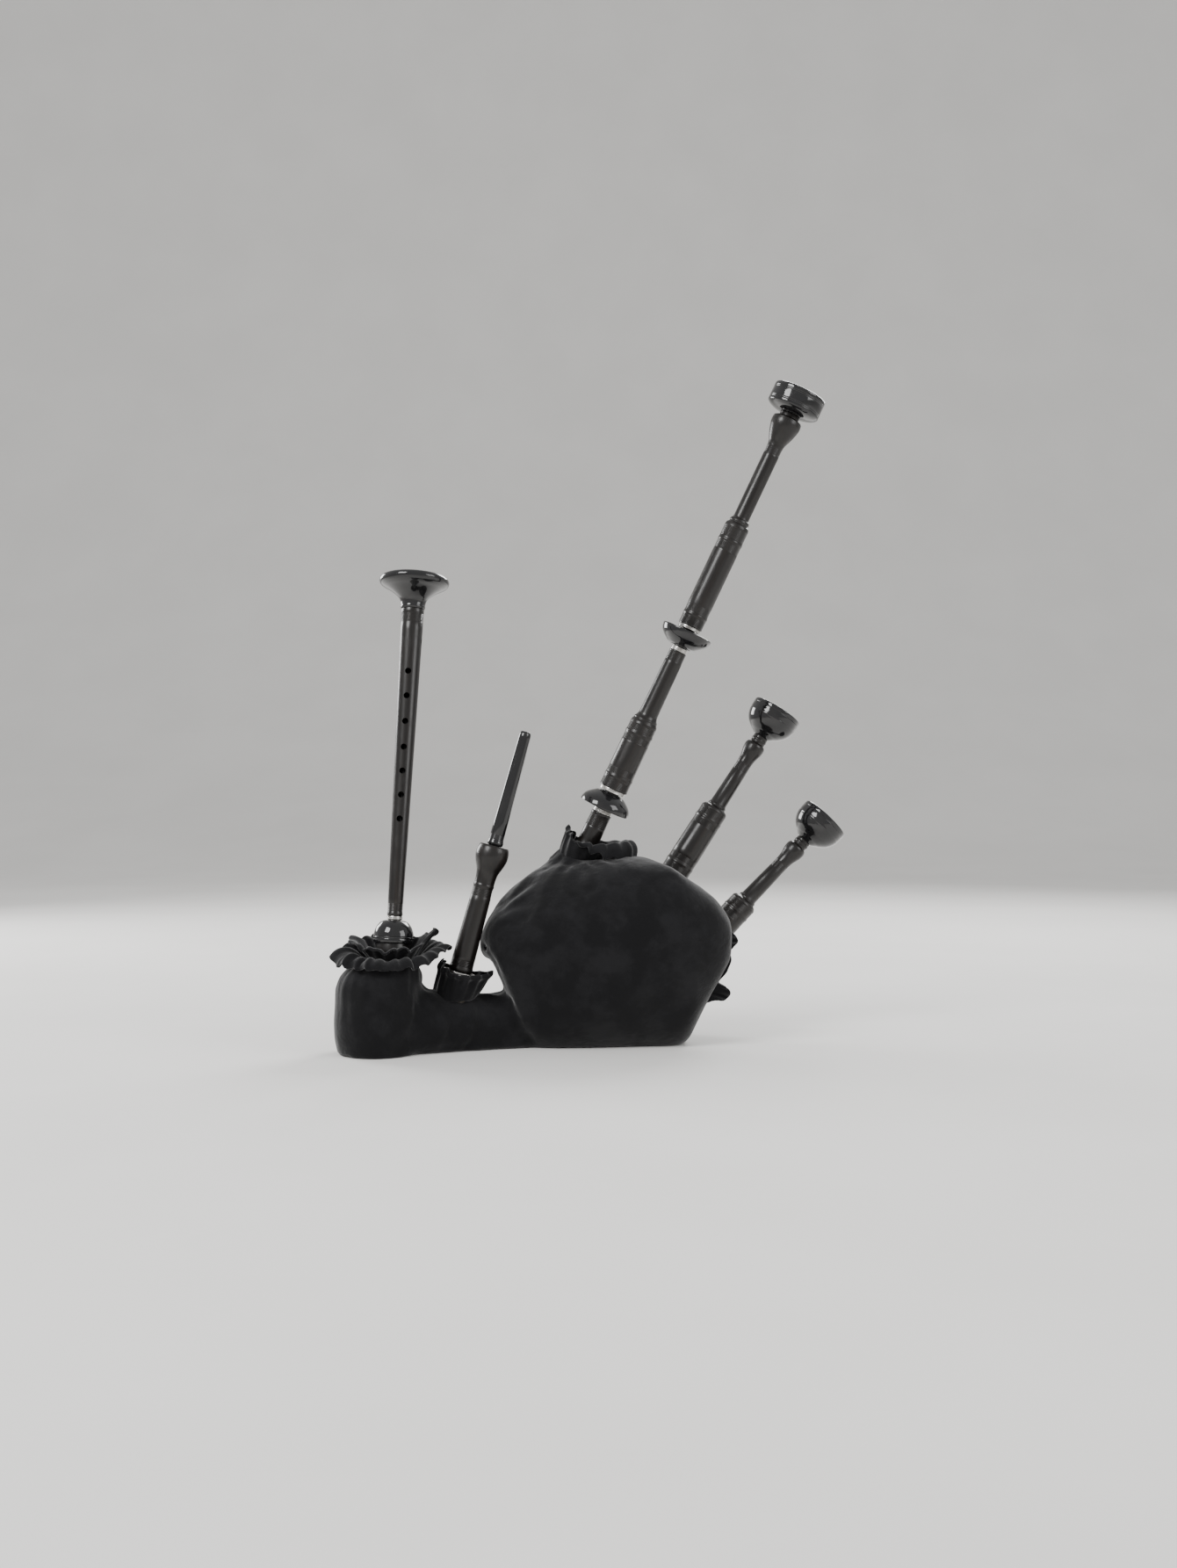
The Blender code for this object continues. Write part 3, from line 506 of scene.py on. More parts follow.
def bassDrone():
    foot = {"shoulder": 12.4, "neck": 11.2, "pin": 8.7, "bore": 4.4}
    turned("bass_bottom_joint", [
        (4.1, -26), *tenon(-26, 0, 16), (foot["shoulder"] - 0.2, 0),
        *bead((12.1, 0.6), (11.9, 3.4), 0.35), *curved([(11.7, 3.8), (11.3, 7.0), (11.2, 12.0)]),
        (foot["neck"], 22), *combed((foot["neck"], 24), (foot["neck"], 38), 10),
        (foot["neck"], 40.4), (foot["pin"], 40.4), (foot["pin"], 132), (foot["bore"], 132),
        (foot["bore"], -12), (4.1, -13),
    ])
    metalRing("bass_bottom_ring", 9.0, 10.4, 40.7, 44.9)
    projectingMount("bass_bottom_mount", 45.2, 9.0, 64.4, True)
    wound("bass_bottom_hemp", 8.8, 10.0, 72, 128)

    metalRing("bass_middle_ferrule", 10.4, 14.4, 65.6, 69.0)
    turned("bass_middle_joint", [
        (10.4, 69.3), (15.7, 69.3), *combed((15.75, 70.6), (15.65, 79.0), 7), (15.6, 80.2),
        *bead((15.5, 81.0), (15.45, 84.6), 0.45), (15.4, 85.4),
        *combed((15.4, 86.2), (15.35, 93.0), 6), (15.25, 100), (15.1, 122),
        *combed((15.05, 124.0), (15.0, 131.0), 6), *bead((14.95, 132.0), (14.9, 135.4), 0.45),
        *combed((14.9, 136.4), (14.9, 143.4), 6), *curved([(14.9, 144.4), (14.5, 146.6),
        (13.2, 149.0)]), *bead((13.1, 149.6), (12.4, 151.8), 0.4, 5), *curved([(12.1, 152.2),
        (11.1, 154.2), (10.5, 157.0), (10.2, 164)]), (9.9, 190), (9.6, 216),
        *combed((9.55, 219), (9.4, 229.4), 8, 0.3), (9.4, 231), (7.2, 231), (7.2, 322), (4.6, 322),
        (4.6, 146), (10.4, 141),
    ])
    metalRing("bass_middle_ring", 7.5, 8.8, 231.3, 235.7)
    projectingMount("bass_middle_mount", 236, 7.5, 255.5, False)
    wound("bass_middle_hemp", 7.3, 8.4, 263, 318)

    metalRing("bass_top_ferrule", 8.8, 12.4, 256.7, 260.0)
    turned("bass_top_joint", [
        (8.8, 260.3), (13.3, 260.3), *combed((13.4, 261.6), (13.4, 270.0), 7),
        *bead((13.3, 271.0), (13.3, 274.6), 0.45), *combed((13.4, 275.6), (13.4, 284.0), 7),
        (13.4, 290), (13.4, 346), *combed((13.4, 348.0), (13.4, 356.4), 7),
        *bead((13.3, 357.4), (13.3, 361.0), 0.45), *combed((13.4, 362.0), (13.4, 374.0), 10),
        *curved([(13.3, 375.2), (12.6, 377.8), (10.9, 379.6)]),
        *bead((10.5, 380.4), (10.4, 383.6), 0.5), *curved([(10.2, 384.2), (9.0, 385.4),
        (8.6, 387.6)]), (8.6, 395), (8.6, 440), (8.6, 458), *combed((8.6, 460), (8.6, 468), 7, 0.3),
        *curved([(8.6, 470), (9.5, 474), (11.2, 478), (12.9, 482.4), (14.4, 487), (15.7, 491.6),
        (16.2, 496), (15.6, 500.5)]), (13.0, 501.9), (10.8, 502.5), (10.8, 506.3), (8.0, 506.3),
        (8.0, 523.7), (5.6, 523.7), (4.8, 336), (8.8, 331),
    ])
    turned("bass_top_cap", [
        (8.3, 506.6), (12.8, 506.6), *curved([(13.6, 506.7), (18.0, 507.3), (22.0, 508.4),
        (25.8, 510.0), (28.2, 511.9)]), (28.6, 512.8), *groove(28.6, 515.2), *groove(28.6, 516.8),
        (28.6, 521.0), *groove(28.6, 526.2), *groove(28.6, 527.8), (28.6, 530.2),
        *curved([(28.5, 530.9), (28.1, 531.9), (27.2, 532.4)], 3), *curved([(25.6, 532.2),
        (21.5, 531.4), (17.4, 532.1), (16.0, 532.4)], 4), (15.4, 532.2), (15.4, 524.0),
        (8.3, 524.0),
    ], steps=80)
    turned("bass_top_bush", [
        (7.0, 524.3), (15.1, 524.3), (15.1, 530.4), (14.4, 531.0), (12.0, 531.0), (9.2, 530.8),
        *curved([(8.0, 530.4), (6.8, 529.2), (6.4, 527.4)], 4), (6.4, 525.4),
    ])


def tenorDrone(name):
    look = {"shoulder": 13.0, "neck": 12.0, "pin": 8.7, "chamber": 10.4, "shaft": 9.2}
    turned(name + "_bottom_joint", [
        (4.1, -24), *tenon(-24, 0, 14), (look["shoulder"] - 0.3, 0),
        *bead((12.6, 0.6), (12.3, 3.2), 0.35),
        *combed((look["neck"], 4.4), (look["neck"], 10.8), 5), (look["neck"], 11.7),
        (look["pin"], 11.7), (look["pin"], 86), (4.4, 86), (4.4, -10), (4.1, -11),
    ])
    turned(name + "_mount", [
        (9.0, 12), (12.8, 12.0), *curved([(13.0, 12.05), (16.8, 12.8), (20.0, 14.2), (22.6, 16.2),
        (24.0, 18.5)]), *curved([(24.1, 19.4), (23.9, 20.6), (22.8, 21.4)], 3),
        *curved([(21.4, 21.5), (18.0, 21.3), (14.8, 22.0)]),
        *bead((14.2, 22.4), (13.6, 23.6), 0.25, 4), (13.3, 24.1), (9.0, 24.1),
    ], steps=72)
    wound(name + "_hemp", 8.8, 10.0, 33, 82)
    metalRing(name + "_ferrule", 10.4, 14.6, 25.4, 29.0)
    turned(name + "_top_joint", [
        (look["chamber"], 29.3), (16.2, 29.3), *combed((16.25, 30.6), (16.1, 39.0), 7),
        *bead((16.0, 40.0), (15.95, 43.6), 0.45), *combed((15.95, 44.6), (15.9, 52.0), 6),
        (15.85, 58), (15.65, 86), *combed((15.6, 90.0), (15.5, 97.2), 6),
        *bead((15.4, 98.2), (15.35, 101.8), 0.45), *combed((15.4, 102.8), (15.4, 111.0), 7),
        *curved([(15.3, 112.2), (13.8, 114.6), (10.8, 116.6)]),
        *bead((10.4, 117.2), (9.7, 120.0), 0.5), (look["shaft"], 121), (8.8, 146),
        *combed((8.4, 164), (8.3, 173), 7, 0.3), *curved([(8.3, 176), (8.8, 181), (10.0, 186),
        (11.0, 189.6), (11.4, 193.0), (11.3, 196.4), (10.2, 199.0), (8.3, 200.4)]), (8.2, 201.6),
        *bead((8.1, 203.0), (8.1, 206.2), 0.6), (8.2, 207.6), (8.2, 209), (6.8, 209), (6.8, 218),
        (5.0, 218), (4.6, 99), (look["chamber"], 95),
    ])
    turned(name + "_cup", [
        (7.1, 209.3), (9.0, 209.3), *curved([(9.4, 209.5), (13.2, 212.3), (16.4, 214.2),
        (19.2, 216.4), (22.0, 218.9), (24.2, 221.8), (26.0, 225.0), (27.2, 228.2)]),
        *bead((27.35, 229.4), (27.7, 232.2), 0.35, 5), (27.9, 233.4), (28.1, 236.0),
        *groove(28.1, 239.4, 0.7, 0.35), (28.1, 242.4), *curved([(28.0, 243.3), (27.2, 244.1),
        (26.2, 243.8)], 3), *curved([(25.7, 242.4), (24.6, 237.0), (23.3, 231.0), (21.0, 226.0),
        (17.2, 222.2), (12.0, 219.6), (8.6, 218.7)]), (7.1, 218.4),
    ], steps=80)


def chanter():
    look = {
        "top": (7.7, 3.9), "foot": (11.9, 326.7), "holeRadius": 3.2, "sink": 0.9, "dish": 1.4,
        "widen": 1.55, "front": (104, 129, 154, 179, 206, 233, 259), "thumb": 92, "sides": 292,
    }

    def wall(height):    # the cone's radius at a height
        share = (height - look["top"][1]) / (look["foot"][1] - look["top"][1])
        return look["top"][0] + (look["foot"][0] - look["top"][0]) * share

    cone = [(wall(height), height) for height in range(24, 311, 7)]
    tube = turned("chanter_tube", [
        (3.4, -27), *tenon(-27, -1, 16), (6.6, -0.2), (6.6, 3.6), (7.5, 3.9),
        *bead((7.7, 4.6), (7.8, 7.4), 0.35), *combed((wall(8.4), 8.4), (wall(17), 17), 7, 0.28),
        *cone, *combed((wall(312), 312), (wall(322), 322), 8, 0.3), (11.85, 324), (11.9, 326.7),
        (10.6, 326.7), (10.6, 356), (8.4, 356),
        *[(2.3 + 6.1 * (height + 8) / 364, height) for height in range(340, 0, -20)], (2.3, -8),
        (3.4, -10),
    ], steps=64, keep=True)
    drills = []
    places = [(height, 0, -1) for height in look["front"]] + [(look["thumb"], 0, 1)]
    places += [(look["sides"], -1, 0), (look["sides"], 1, 0)]
    for height, x, y in places:    # each drill widens outwards, which dishes the hole's mouth
        deselectAll()
        turn = Vector((0, 0, 1)).rotation_difference(Vector((x, y, 0))).to_euler()
        start = wall(height) - look["sink"]
        radius = look["holeRadius"] * mm
        bpy.ops.mesh.primitive_cylinder_add(vertices=32, radius=radius, depth=start * mm)
        drill = bpy.context.object
        editing("SELECT")
        bpy.ops.transform.translate(value=(0, 0, (1.0 + start / 2) * mm))
        editing("DESELECT")
        doneEditing()
        for face in drill.data.polygons:
            face.select = face.normal.z > 0.9
        editing()
        extruded(0, look["dish"])
        bpy.ops.transform.resize(value=(look["widen"], look["widen"], 1))
        extruded(0, 6)
        doneEditing()
        drill.location, drill.rotation_euler = (0, 0, height * mm), turn
        bpy.ops.object.transform_apply()
        drills.append(drill)
    cutter = joined(drills)
    drilling = tube.modifiers.new("Drilling", "BOOLEAN")
    drilling.operation, drilling.object, drilling.use_self = "DIFFERENCE", cutter, True
    applyModifiers(tube)
    bpy.data.objects.remove(cutter)
    seated(tube, "chanter_tube")
    turned("chanter_sole", [
        (10.9, 327), (12.3, 327), *bead((12.4, 327.6), (12.7, 330.6), 0.4), *curved([(12.8, 331.2),
        (13.2, 334.0), (14.6, 337.8), (17.4, 341.0), (22.4, 345.0), (27.5, 348.3), (31.8, 350.5),
        (35.0, 352.5)]), *curved([(36.0, 353.7), (36.8, 356.5), (36.4, 358.8), (35.2, 360.5)], 4),
        *curved([(33.4, 361.6), (31.0, 362.0), (26.0, 361.3), (18.0, 360.9), (12.0, 361.7)], 4),
        (9.9, 362), (9.4, 361.4), (9.4, 356.3), (10.9, 356.3),
    ], steps=88)
    metalRing("chanter_ferrule", 6.9, 8.0, 0.3, 3.5, 1)
    turned("chanter_stock", [
        (9.8, -76), (15.5, -76), (17.0, -73), (17.0, -53), (15.8, -51), (15.8, -39), (17.0, -37),
        (17.0, -24), (13.6, -24), (13.6, -4), (9.8, -4),
    ])
    turned("chanter_stock_cap", [
        (13.9, -23.7), (20.3, -23.7), *bead((20.3, -23.2), (20.3, -19.6), 0.3), (20.6, -19.0),
        *groove(20.6, -17.8, 0.6, 0.3), *curved([(20.6, -17.0), (20.2, -13.4), (19.2, -10.0),
        (17.9, -7.0), (16.2, -4.6), (14.4, -2.6), (12.4, -1.4), (10.6, -0.7)]), (9.8, -0.8),
        (9.8, -3.7), (13.9, -3.7),
    ], steps=72)
    wound("chanter_stock_binding", 17.3, 19.8, -52, -38, 1.3)


def blowpipe():
    look = {"tenon": 9.4, "foot": 12.6, "bore": 5.6, "socket": 7.6}
    turned("blowpipe_stick", [
        (look["bore"], -25), (look["tenon"] - 0.4, -25), (look["tenon"], -23.6),
        *combed((look["tenon"], -22), (look["tenon"], -2), 16, 0.25), (look["tenon"], 0),
        (look["foot"] - 0.2, 0), *bead((12.5, 0.8), (12.4, 4.0), 0.3),
        *combed((12.3, 5.0), (12.1, 12.4), 6), (12.0, 16), (11.4, 46), (10.9, 74),
        *combed((10.8, 80), (10.5, 89), 7), *bead((10.5, 90), (10.5, 93.4), 0.45),
        *curved([(10.5, 94.4), (10.6, 99), (11.4, 105), (12.6, 108.8), (14.2, 112.5), (15.8, 117),
        (17.0, 121.5), (17.2, 125.2), (16.8, 129.0), (16.0, 132.2)]), (14.8, 134.5), (11.4, 134.5),
        (look["socket"], 134.5), (look["socket"], 111), (look["bore"], 108),
    ], steps=64)
    turned("mouthpiece", [
        (3.4, 113), (6.5, 113), (6.5, 135), (7.9, 135), *bead((8.1, 135.6), (8.1, 139.4), 0.5),
        (8.0, 140.2), *combed((7.95, 141.0), (7.85, 146.6), 5, 0.28), (7.7, 160), (7.4, 180),
        (7.1, 200), (6.8, 222), (6.4, 244), *curved([(6.35, 249), (6.3, 252.6), (5.9, 255.6),
        (4.9, 257.6), (4.0, 258.0)]), (3.4, 257.6),
    ])
    wound("mouthpiece_hemp", 6.6, 7.2, 116, 132, 0.8)


for drone, length in (("bass", 75), ("tenor_1", 50), ("tenor_2", 50), ("blowpipe", 58)):
    stock(drone + "_stock", length)
bassDrone()
tenorDrone("tenor_1")
tenorDrone("tenor_2")
chanter()
blowpipe()
print("turned pieces done")


bag = {    # mm; x of each upright section, with its top, bottom, front, back and forward lean
    "body": (
        (-113, 112, 98, -46, -30, 0.0), (-107, 128, 93, -68, -6, 0.0), (-96, 146, 86, -84, 14, 0.0),
        (-84, 160, 56, -94, 30, 0.02), (-70, 172, 8, -99, 42, 0.03), (-48, 187, -8, -103, 54, 0.04),
        (-15, 194, -10, -106, 62, 0.06), (20, 197, -10, -106, 62, 0.10),
        (55, 197, -10, -104, 60, 0.16), (84, 189, -8, -99, 20, 0.22), (104, 175, 4, -94, -2, 0.22),
        (118, 165, 34, -88, -6, 0.22), (132, 154, 60, -80, -12, 0.22),
        (144, 138, 82, -70, -22, 0.22), (150, 124, 94, -58, -34, 0.22),
    ),
    # centre of each section of the neck, its half width and half height
    "neck": (
        (-40, -38, 33, 28, 28), (-72, -49, 30, 32, 34), (-100, -60, 27, 31, 31),
        (-140, -75, 28, 31, 33), (-172, -88, 30, 34, 36), (-205, -98, 32, 34, 34),
    ),
    # centre and radius of each level section of the chanter's end
    "pot": (
        (-213, -100, -9, 39), (-213, -100, 10, 44), (-213, -100, 42, 46), (-212, -99, 74, 43),
        (-206, -97, 91, 34), (-202, -96, 100, 27),
    ),
    "sleeveTop": 26.5,
    "sleeveFoot": {"bass": 37.0, "tenor_1": 29.5, "tenor_2": 29.5},
    "sleeve": (-56, -10),
    "around": 48,
    "voxel": 0.005,
    "start": 1.8,          # the skin is made this much small, and inflated
    "pressure": 4.0,
    "mostOut": 2.8,
    "mostIn": 0.6,
    "floor": 0.4,
    "cloth": 1.3,
}


def between(rows, parts=4):    # more rows along a smooth curve through the given ones
    return [list(row) for row in curved([tuple(row) for row in rows], parts)]


def pushed(value, power):    # squarer than a sine
    return abs(value) ** power * (1 if value >= 0 else -1)


def bodyRings(inset):
    rings = []
    for x, top, bottom, front, back, lean in between(bag["body"]):
        low, high = bag["body"][0][0] + inset, bag["body"][-1][0] - inset
        middle, tall = (top + bottom) / 2, max((top - bottom) / 2 - inset, 1.5)
        centre, wide = (front + back) / 2, max((back - front) / 2 - inset, 1.5)
        ring = []
        for k in range(bag["around"]):
            angle = tau * (k + 0.5) / bag["around"]
            power = 1.0 if sin(angle) > 0 else 0.72
            z = middle + tall * pushed(sin(angle), power)
            y = centre + wide * pushed(cos(angle), power) - lean * (z - middle)
            ring.append((min(max(x, low), high), y, z))
        rings.append(ring)
    return rings


def neckRings(inset):
    rows = between(bag["neck"])
    rings = []
    for k, (x, y, z, wide, tall) in enumerate(rows):
        along = Vector(rows[min(k + 1, len(rows) - 1)][:3]) - Vector(rows[max(k - 1, 0)][:3])
        side = along.cross(Vector((0, 0, 1))).normalized()
        ring = []
        for step in range(bag["around"]):
            angle = tau * (step + 0.5) / bag["around"]
            power = 1.0 if sin(angle) > 0 else 0.8
            point = Vector((x, y, z)) + side * (wide - inset) * pushed(cos(angle), power)
            ring.append((point.x, point.y, point.z + (tall - inset) * pushed(sin(angle), power)))
        rings.append(ring)
    return rings


def roundRing(x, y, z, radius):
    turns = [tau * k / bag["around"] for k in range(bag["around"])]
    return [(x + radius * cos(turn), y + radius * sin(turn), z) for turn in turns]


def potRings(inset):
    rows = between(bag["pot"])
    top = rows[-1][2] - inset
    return [roundRing(x, y, min(z, top), radius - inset) for x, y, z, radius in rows]


def sleeveRings(inset, footRadius):
    low, high = bag["sleeve"]
    rings = []
    for share in (0.0, 0.35, 0.7, 1.0):
        radius = footRadius + (bag["sleeveTop"] - footRadius) * share
        height = low + (high - low) * share + inset * (1 - 2 * share)
        rings.append(roundRing(0, 0, height, radius - inset))
    return rings


def woven(name, rows, ring=True, faces=()):    # a skin of quads between rows of points
    count = len(rows[0])
    faces = list(faces)
    for row in range(len(rows) - 1):
        for k in range(count if ring else count - 1):
            near, far = row * count + k, row * count + (k + 1) % count
            faces.append((near, far, far + count, near + count))
    mesh = bpy.data.meshes.new(name)
    mesh.from_pydata([tuple(point) for row in rows for point in row], [], faces)
    made = bpy.data.objects.new(name, mesh)
    bpy.context.scene.collection.objects.link(made)
    return made


def lofted(name, rings):    # a closed skin over a row of rings
    count, last = len(rings[0]), (len(rings) - 1) * len(rings[0])
    ends = [list(range(count))[::-1], list(range(last, last + count))]
    return woven(name, [[Vector(point) * mm for point in ring] for ring in rings], faces=ends)


def bagSkin(name, inset, voxel):    # body, neck, chanter's end and sleeves as one skin
    rings = {name: bodyRings(inset), "neck": neckRings(inset), "pot": potRings(inset)}
    parts = [lofted(part, rings[part]) for part in rings]
    for drone, footRadius in bag["sleeveFoot"].items():
        sleeve = lofted("sleeve", sleeveRings(inset, footRadius))
        sleeve.matrix_world = pipes[drone]
        parts.append(sleeve)
    for part in parts:
        choose(part)
        editing("SELECT")
        bpy.ops.mesh.normals_make_consistent(inside=False)
        doneEditing()
    skin = joined(parts)
    skin.name = name
    remesh = skin.modifiers.new("Remesh", "REMESH")
    remesh.mode, remesh.voxel_size = "VOXEL", voxel
    soften = skin.modifiers.new("Soften", "SMOOTH")
    soften.factor, soften.iterations = 0.5, 6
    applyModifiers(skin)
    points = pointsOf(skin)
    # it stands flat on the floor
    points[:, 2] = np.maximum(points[:, 2], (bag["floor"] + inset) * mm)
    setPoints(skin, points)
    return skin


def pointsOf(obj, field="co"):
    found = np.empty(len(obj.data.vertices) * 3)
    obj.data.vertices.foreach_get(field, found)
    return found.reshape(-1, 3)


def setPoints(obj, points):
    obj.data.vertices.foreach_set("co", points.astype(np.float32).ravel())
    obj.data.update()


def onPipe(points, pipe):    # each point's radius, angle and height on a pipe's axes
    matrix = np.array(pipes[pipe].inverted())
    local = points @ matrix[:3, :3].T + matrix[:3, 3]
    x, y, z = local.T
    return np.hypot(x, y) / mm, np.arctan2(y, x), z / mm


def nearStocks(points, reach, low, chanterLow, high):    # true for each point within reach
    near = np.zeros(len(points), bool)
    for pipe in pipes:
        radius, angle, height = onPipe(points, pipe)
        foot = chanterLow if pipe == "chanter" else low
        near |= (radius < reach) & (height > foot) & (height < high)
    return near


def inflate(obj):    # fills the cloth with air, held where it is tied to the stocks
    look = {"collar": 31, "frames": 20, "mostSlip": 1.5}
    start, outward = pointsOf(obj), pointsOf(obj, "normal")
    held = nearStocks(start, look["collar"], low=-24, chanterLow=-48, high=20)
    group = obj.vertex_groups.new(name="held")
    group.add([int(k) for k in np.nonzero(held)[0]], 1.0, "REPLACE")
    modifier = obj.modifiers.new("Cloth", "CLOTH")
    cloth = modifier.settings
    cloth.quality, cloth.mass = 5, 0.3
    cloth.tension_stiffness, cloth.compression_stiffness, cloth.shear_stiffness = 12, 12, 4
    cloth.bending_stiffness = 0.4
    cloth.shrink_min = -0.05
    cloth.use_pressure, cloth.uniform_pressure_force = True, bag["pressure"]
    cloth.effector_weights.gravity = 0
    cloth.vertex_group_mass = "held"
    modifier.point_cache.frame_start, modifier.point_cache.frame_end = 1, look["frames"]
    for step in range(1, look["frames"] + 1):
        bpy.context.scene.frame_set(step)
    applyModifiers(obj)
    bpy.context.scene.frame_set(1)
    moved = pointsOf(obj) - start
    swell = (moved * outward).sum(1, keepdims=True)
    slid = moved - outward * swell
    far = np.maximum(np.linalg.norm(slid, axis=1, keepdims=True), 1e-9)
    slid *= np.minimum(1, look["mostSlip"] * mm / far)
    swell = np.clip(swell, -bag["mostIn"] * mm, bag["mostOut"] * mm)
    setPoints(obj, start + slid + outward * swell)


def gathers(obj):    # folds that run out from each tie, and slack creases across the cover
    look = {
        "count": {"bass": 22, "tenor_1": 17, "tenor_2": 17, "chanter": 24, "blowpipe": 15},
        "tie": {"bass": -10, "tenor_1": -10, "tenor_2": -10, "chanter": -38, "blowpipe": -34},
        "neck": 24, "depth": 2.0, "fade": 38.0, "mostIn": 1.6, "mostOut": 2.4,
    }
    points, normals = pointsOf(obj), pointsOf(obj, "normal")
    push = np.zeros(len(points))
    for pipe in pipes:
        radius, angle, height = onPipe(points, pipe)
        below = np.minimum(height - look["tie"][pipe], 0) * 0.8
        away = np.hypot(np.maximum(radius - look["neck"], 0), below)
        near = np.exp(-(away / look["fade"]) ** 1.5)
        count = look["count"][pipe]
        fold = np.sin(angle * count + 0.9 * np.sin(angle * 3 + away / 17)) * 0.7
        fold += np.sin(angle * (count // 2 + 1) + away / 11) * 0.5
        push += fold * near * look["depth"] * np.clip(away / 9, 0.35, 1)
    for k, point in enumerate(points):
        drawn = Vector((point[0] * 13, point[1] * 24, point[2] * 30))
        slack = noise.noise(drawn) * 1.3 + noise.noise(drawn * 2.3) * 0.6
        push[k] += slack * min(1.0, point[2] / 0.02)
    points = points + normals * np.clip(push, -look["mostIn"], look["mostOut"])[:, None] * mm
    points[:, 2] = np.maximum(points[:, 2], bag["floor"] * mm)
    setPoints(obj, points)


def openAtStocks(obj, hole=20.5):    # opens the cloth round each stock and trues the opening
    look = {"rimReach": 1.5, "rimDepth": 70}
    inside = nearStocks(pointsOf(obj), hole, low=-42, chanterLow=-52, high=34)
    choose(obj)
    editing()
    bpy.ops.mesh.select_mode(type="FACE")
    bpy.ops.mesh.select_all(action="DESELECT")
    doneEditing()
    for face in obj.data.polygons:
        face.select = all(inside[k] for k in face.vertices)
    editing()
    bpy.ops.mesh.delete(type="FACE")
    bpy.ops.mesh.select_mode(type="VERT")
    bpy.ops.mesh.select_all(action="DESELECT")
    bpy.ops.mesh.select_non_manifold()
    doneEditing()
    points = pointsOf(obj)
    rim = np.array([vertex.select for vertex in obj.data.vertices])
    for pipe in pipes:
        matrix = np.array(pipes[pipe])
        radius, angle, height = onPipe(points, pipe)
        near = rim & (radius < hole * look["rimReach"]) & (np.abs(height) < look["rimDepth"])
        trued = np.stack([np.cos(angle) * hole * mm, np.sin(angle) * hole * mm, height * mm], 1)
        points[near] = (trued @ matrix[:3, :3].T + matrix[:3, 3])[near]
    setPoints(obj, points)


def walled(obj, thick, subdivide=1, offset=-1.0):    # gives a skin its thickness
    if subdivide:
        finer = obj.modifiers.new("Finer", "SUBSURF")
        finer.levels = finer.render_levels = subdivide
    wall = obj.modifiers.new("Wall", "SOLIDIFY")
    wall.thickness, wall.offset = thick * mm, offset
    applyModifiers(obj)
    choose(obj)
    bpy.ops.object.shade_smooth()


cover = bagSkin("bag_cover_cloth", bag["start"], bag["voxel"])
inflate(cover)
print("cover inflated", len(cover.data.vertices))
gathers(cover)
openAtStocks(cover)
hide = bagSkin("leather_bag_hide", 6.0, bag["voxel"])
openAtStocks(hide, 20.2)
walled(cover, bag["cloth"])
walled(hide, 2.0, 0)
standsFor(cover, "bag_cover")
standsFor(hide, "leather_bag")
print("bag done")


def sheetPiece(name, node, rows, cloth, ring=True):    # each row is one line of the sheet
    made = woven(name, rows, ring)
    walled(made, cloth, offset=0.0)
    return standsFor(made, node)


def smoothly(turns, points, column):    # a value given at some angles, eased between them
    angles = np.array([point[0] for point in points] + [points[0][0] + 360.0])
    values = np.array([point[column] for point in points] + [points[0][column]], float)
    place = np.searchsorted(angles, turns, side="right") - 1
    share = (turns - angles[place]) / (angles[place + 1] - angles[place])
    share = share * share * (3 - 2 * share)
    return values[place] + (values[place + 1] - values[place]) * share


def ruffle(name, node, pipe, look, hem):
    # a strip gathered round a stock; each place of its hem is angle, reach, height and arch
    origin, way = np.array(pipes[pipe].to_translation()) / mm, np.array(pipes[pipe].col[2][:3])
    turns = hem[0][0] + np.arange(look["around"]) * 360.0 / look["around"]
    reach, height, arch = (smoothly(turns, hem, column) for column in (1, 2, 3))
    turns = np.radians(turns)
    rows = []
    for row in range(look["rows"] + 1):
        share = row / look["rows"]
        phase = turns * look["pleats"] + 1.1 * np.sin(turns * 2 + look["shift"])
        phase = phase + 0.6 * np.sin(turns * 3) + share * 0.5
        swing = look["pleatDepth"] * (0.10 + 0.90 * share)
        swing = swing * (0.75 + 0.25 * np.sin(turns * 5 + look["shift"]))
        roll = pi * max(0.0, share - 0.7) / 0.3
        # the pleats stand square to the sheet
        out, up = reach - look["tie"], height - look["foot"] + arch
        long = np.hypot(out, up)
        r = look["tie"] + out * share + look["bulge"] * sin(pi * share ** 0.8)
        r = r + swing * np.sin(phase) * (0.25 + 0.65 * up / long) + look["roll"] * sin(roll) * 0.7
        z = look["foot"] + (height - look["foot"]) * share + arch * sin(pi * share)
        z = z + swing * np.cos(phase) * (0.15 + 0.85 * np.abs(out) / long)
        z = z - look["roll"] * (1 - cos(roll)) * 0.6
        z = np.maximum(z, look["foot"] - 1 + 2 * share)
        lean = swing * np.sin(phase + 1.2) / np.maximum(r, 8.0) * 0.45
        x = origin[0] + way[0] / way[2] * (z - origin[2]) + r * np.cos(turns + lean)
        y = origin[1] + way[1] / way[2] * (z - origin[2]) + r * np.sin(turns + lean)
        rows.append(np.stack([x, y, z], 1) * mm)
    return sheetPiece(name, node, rows, bag["cloth"])


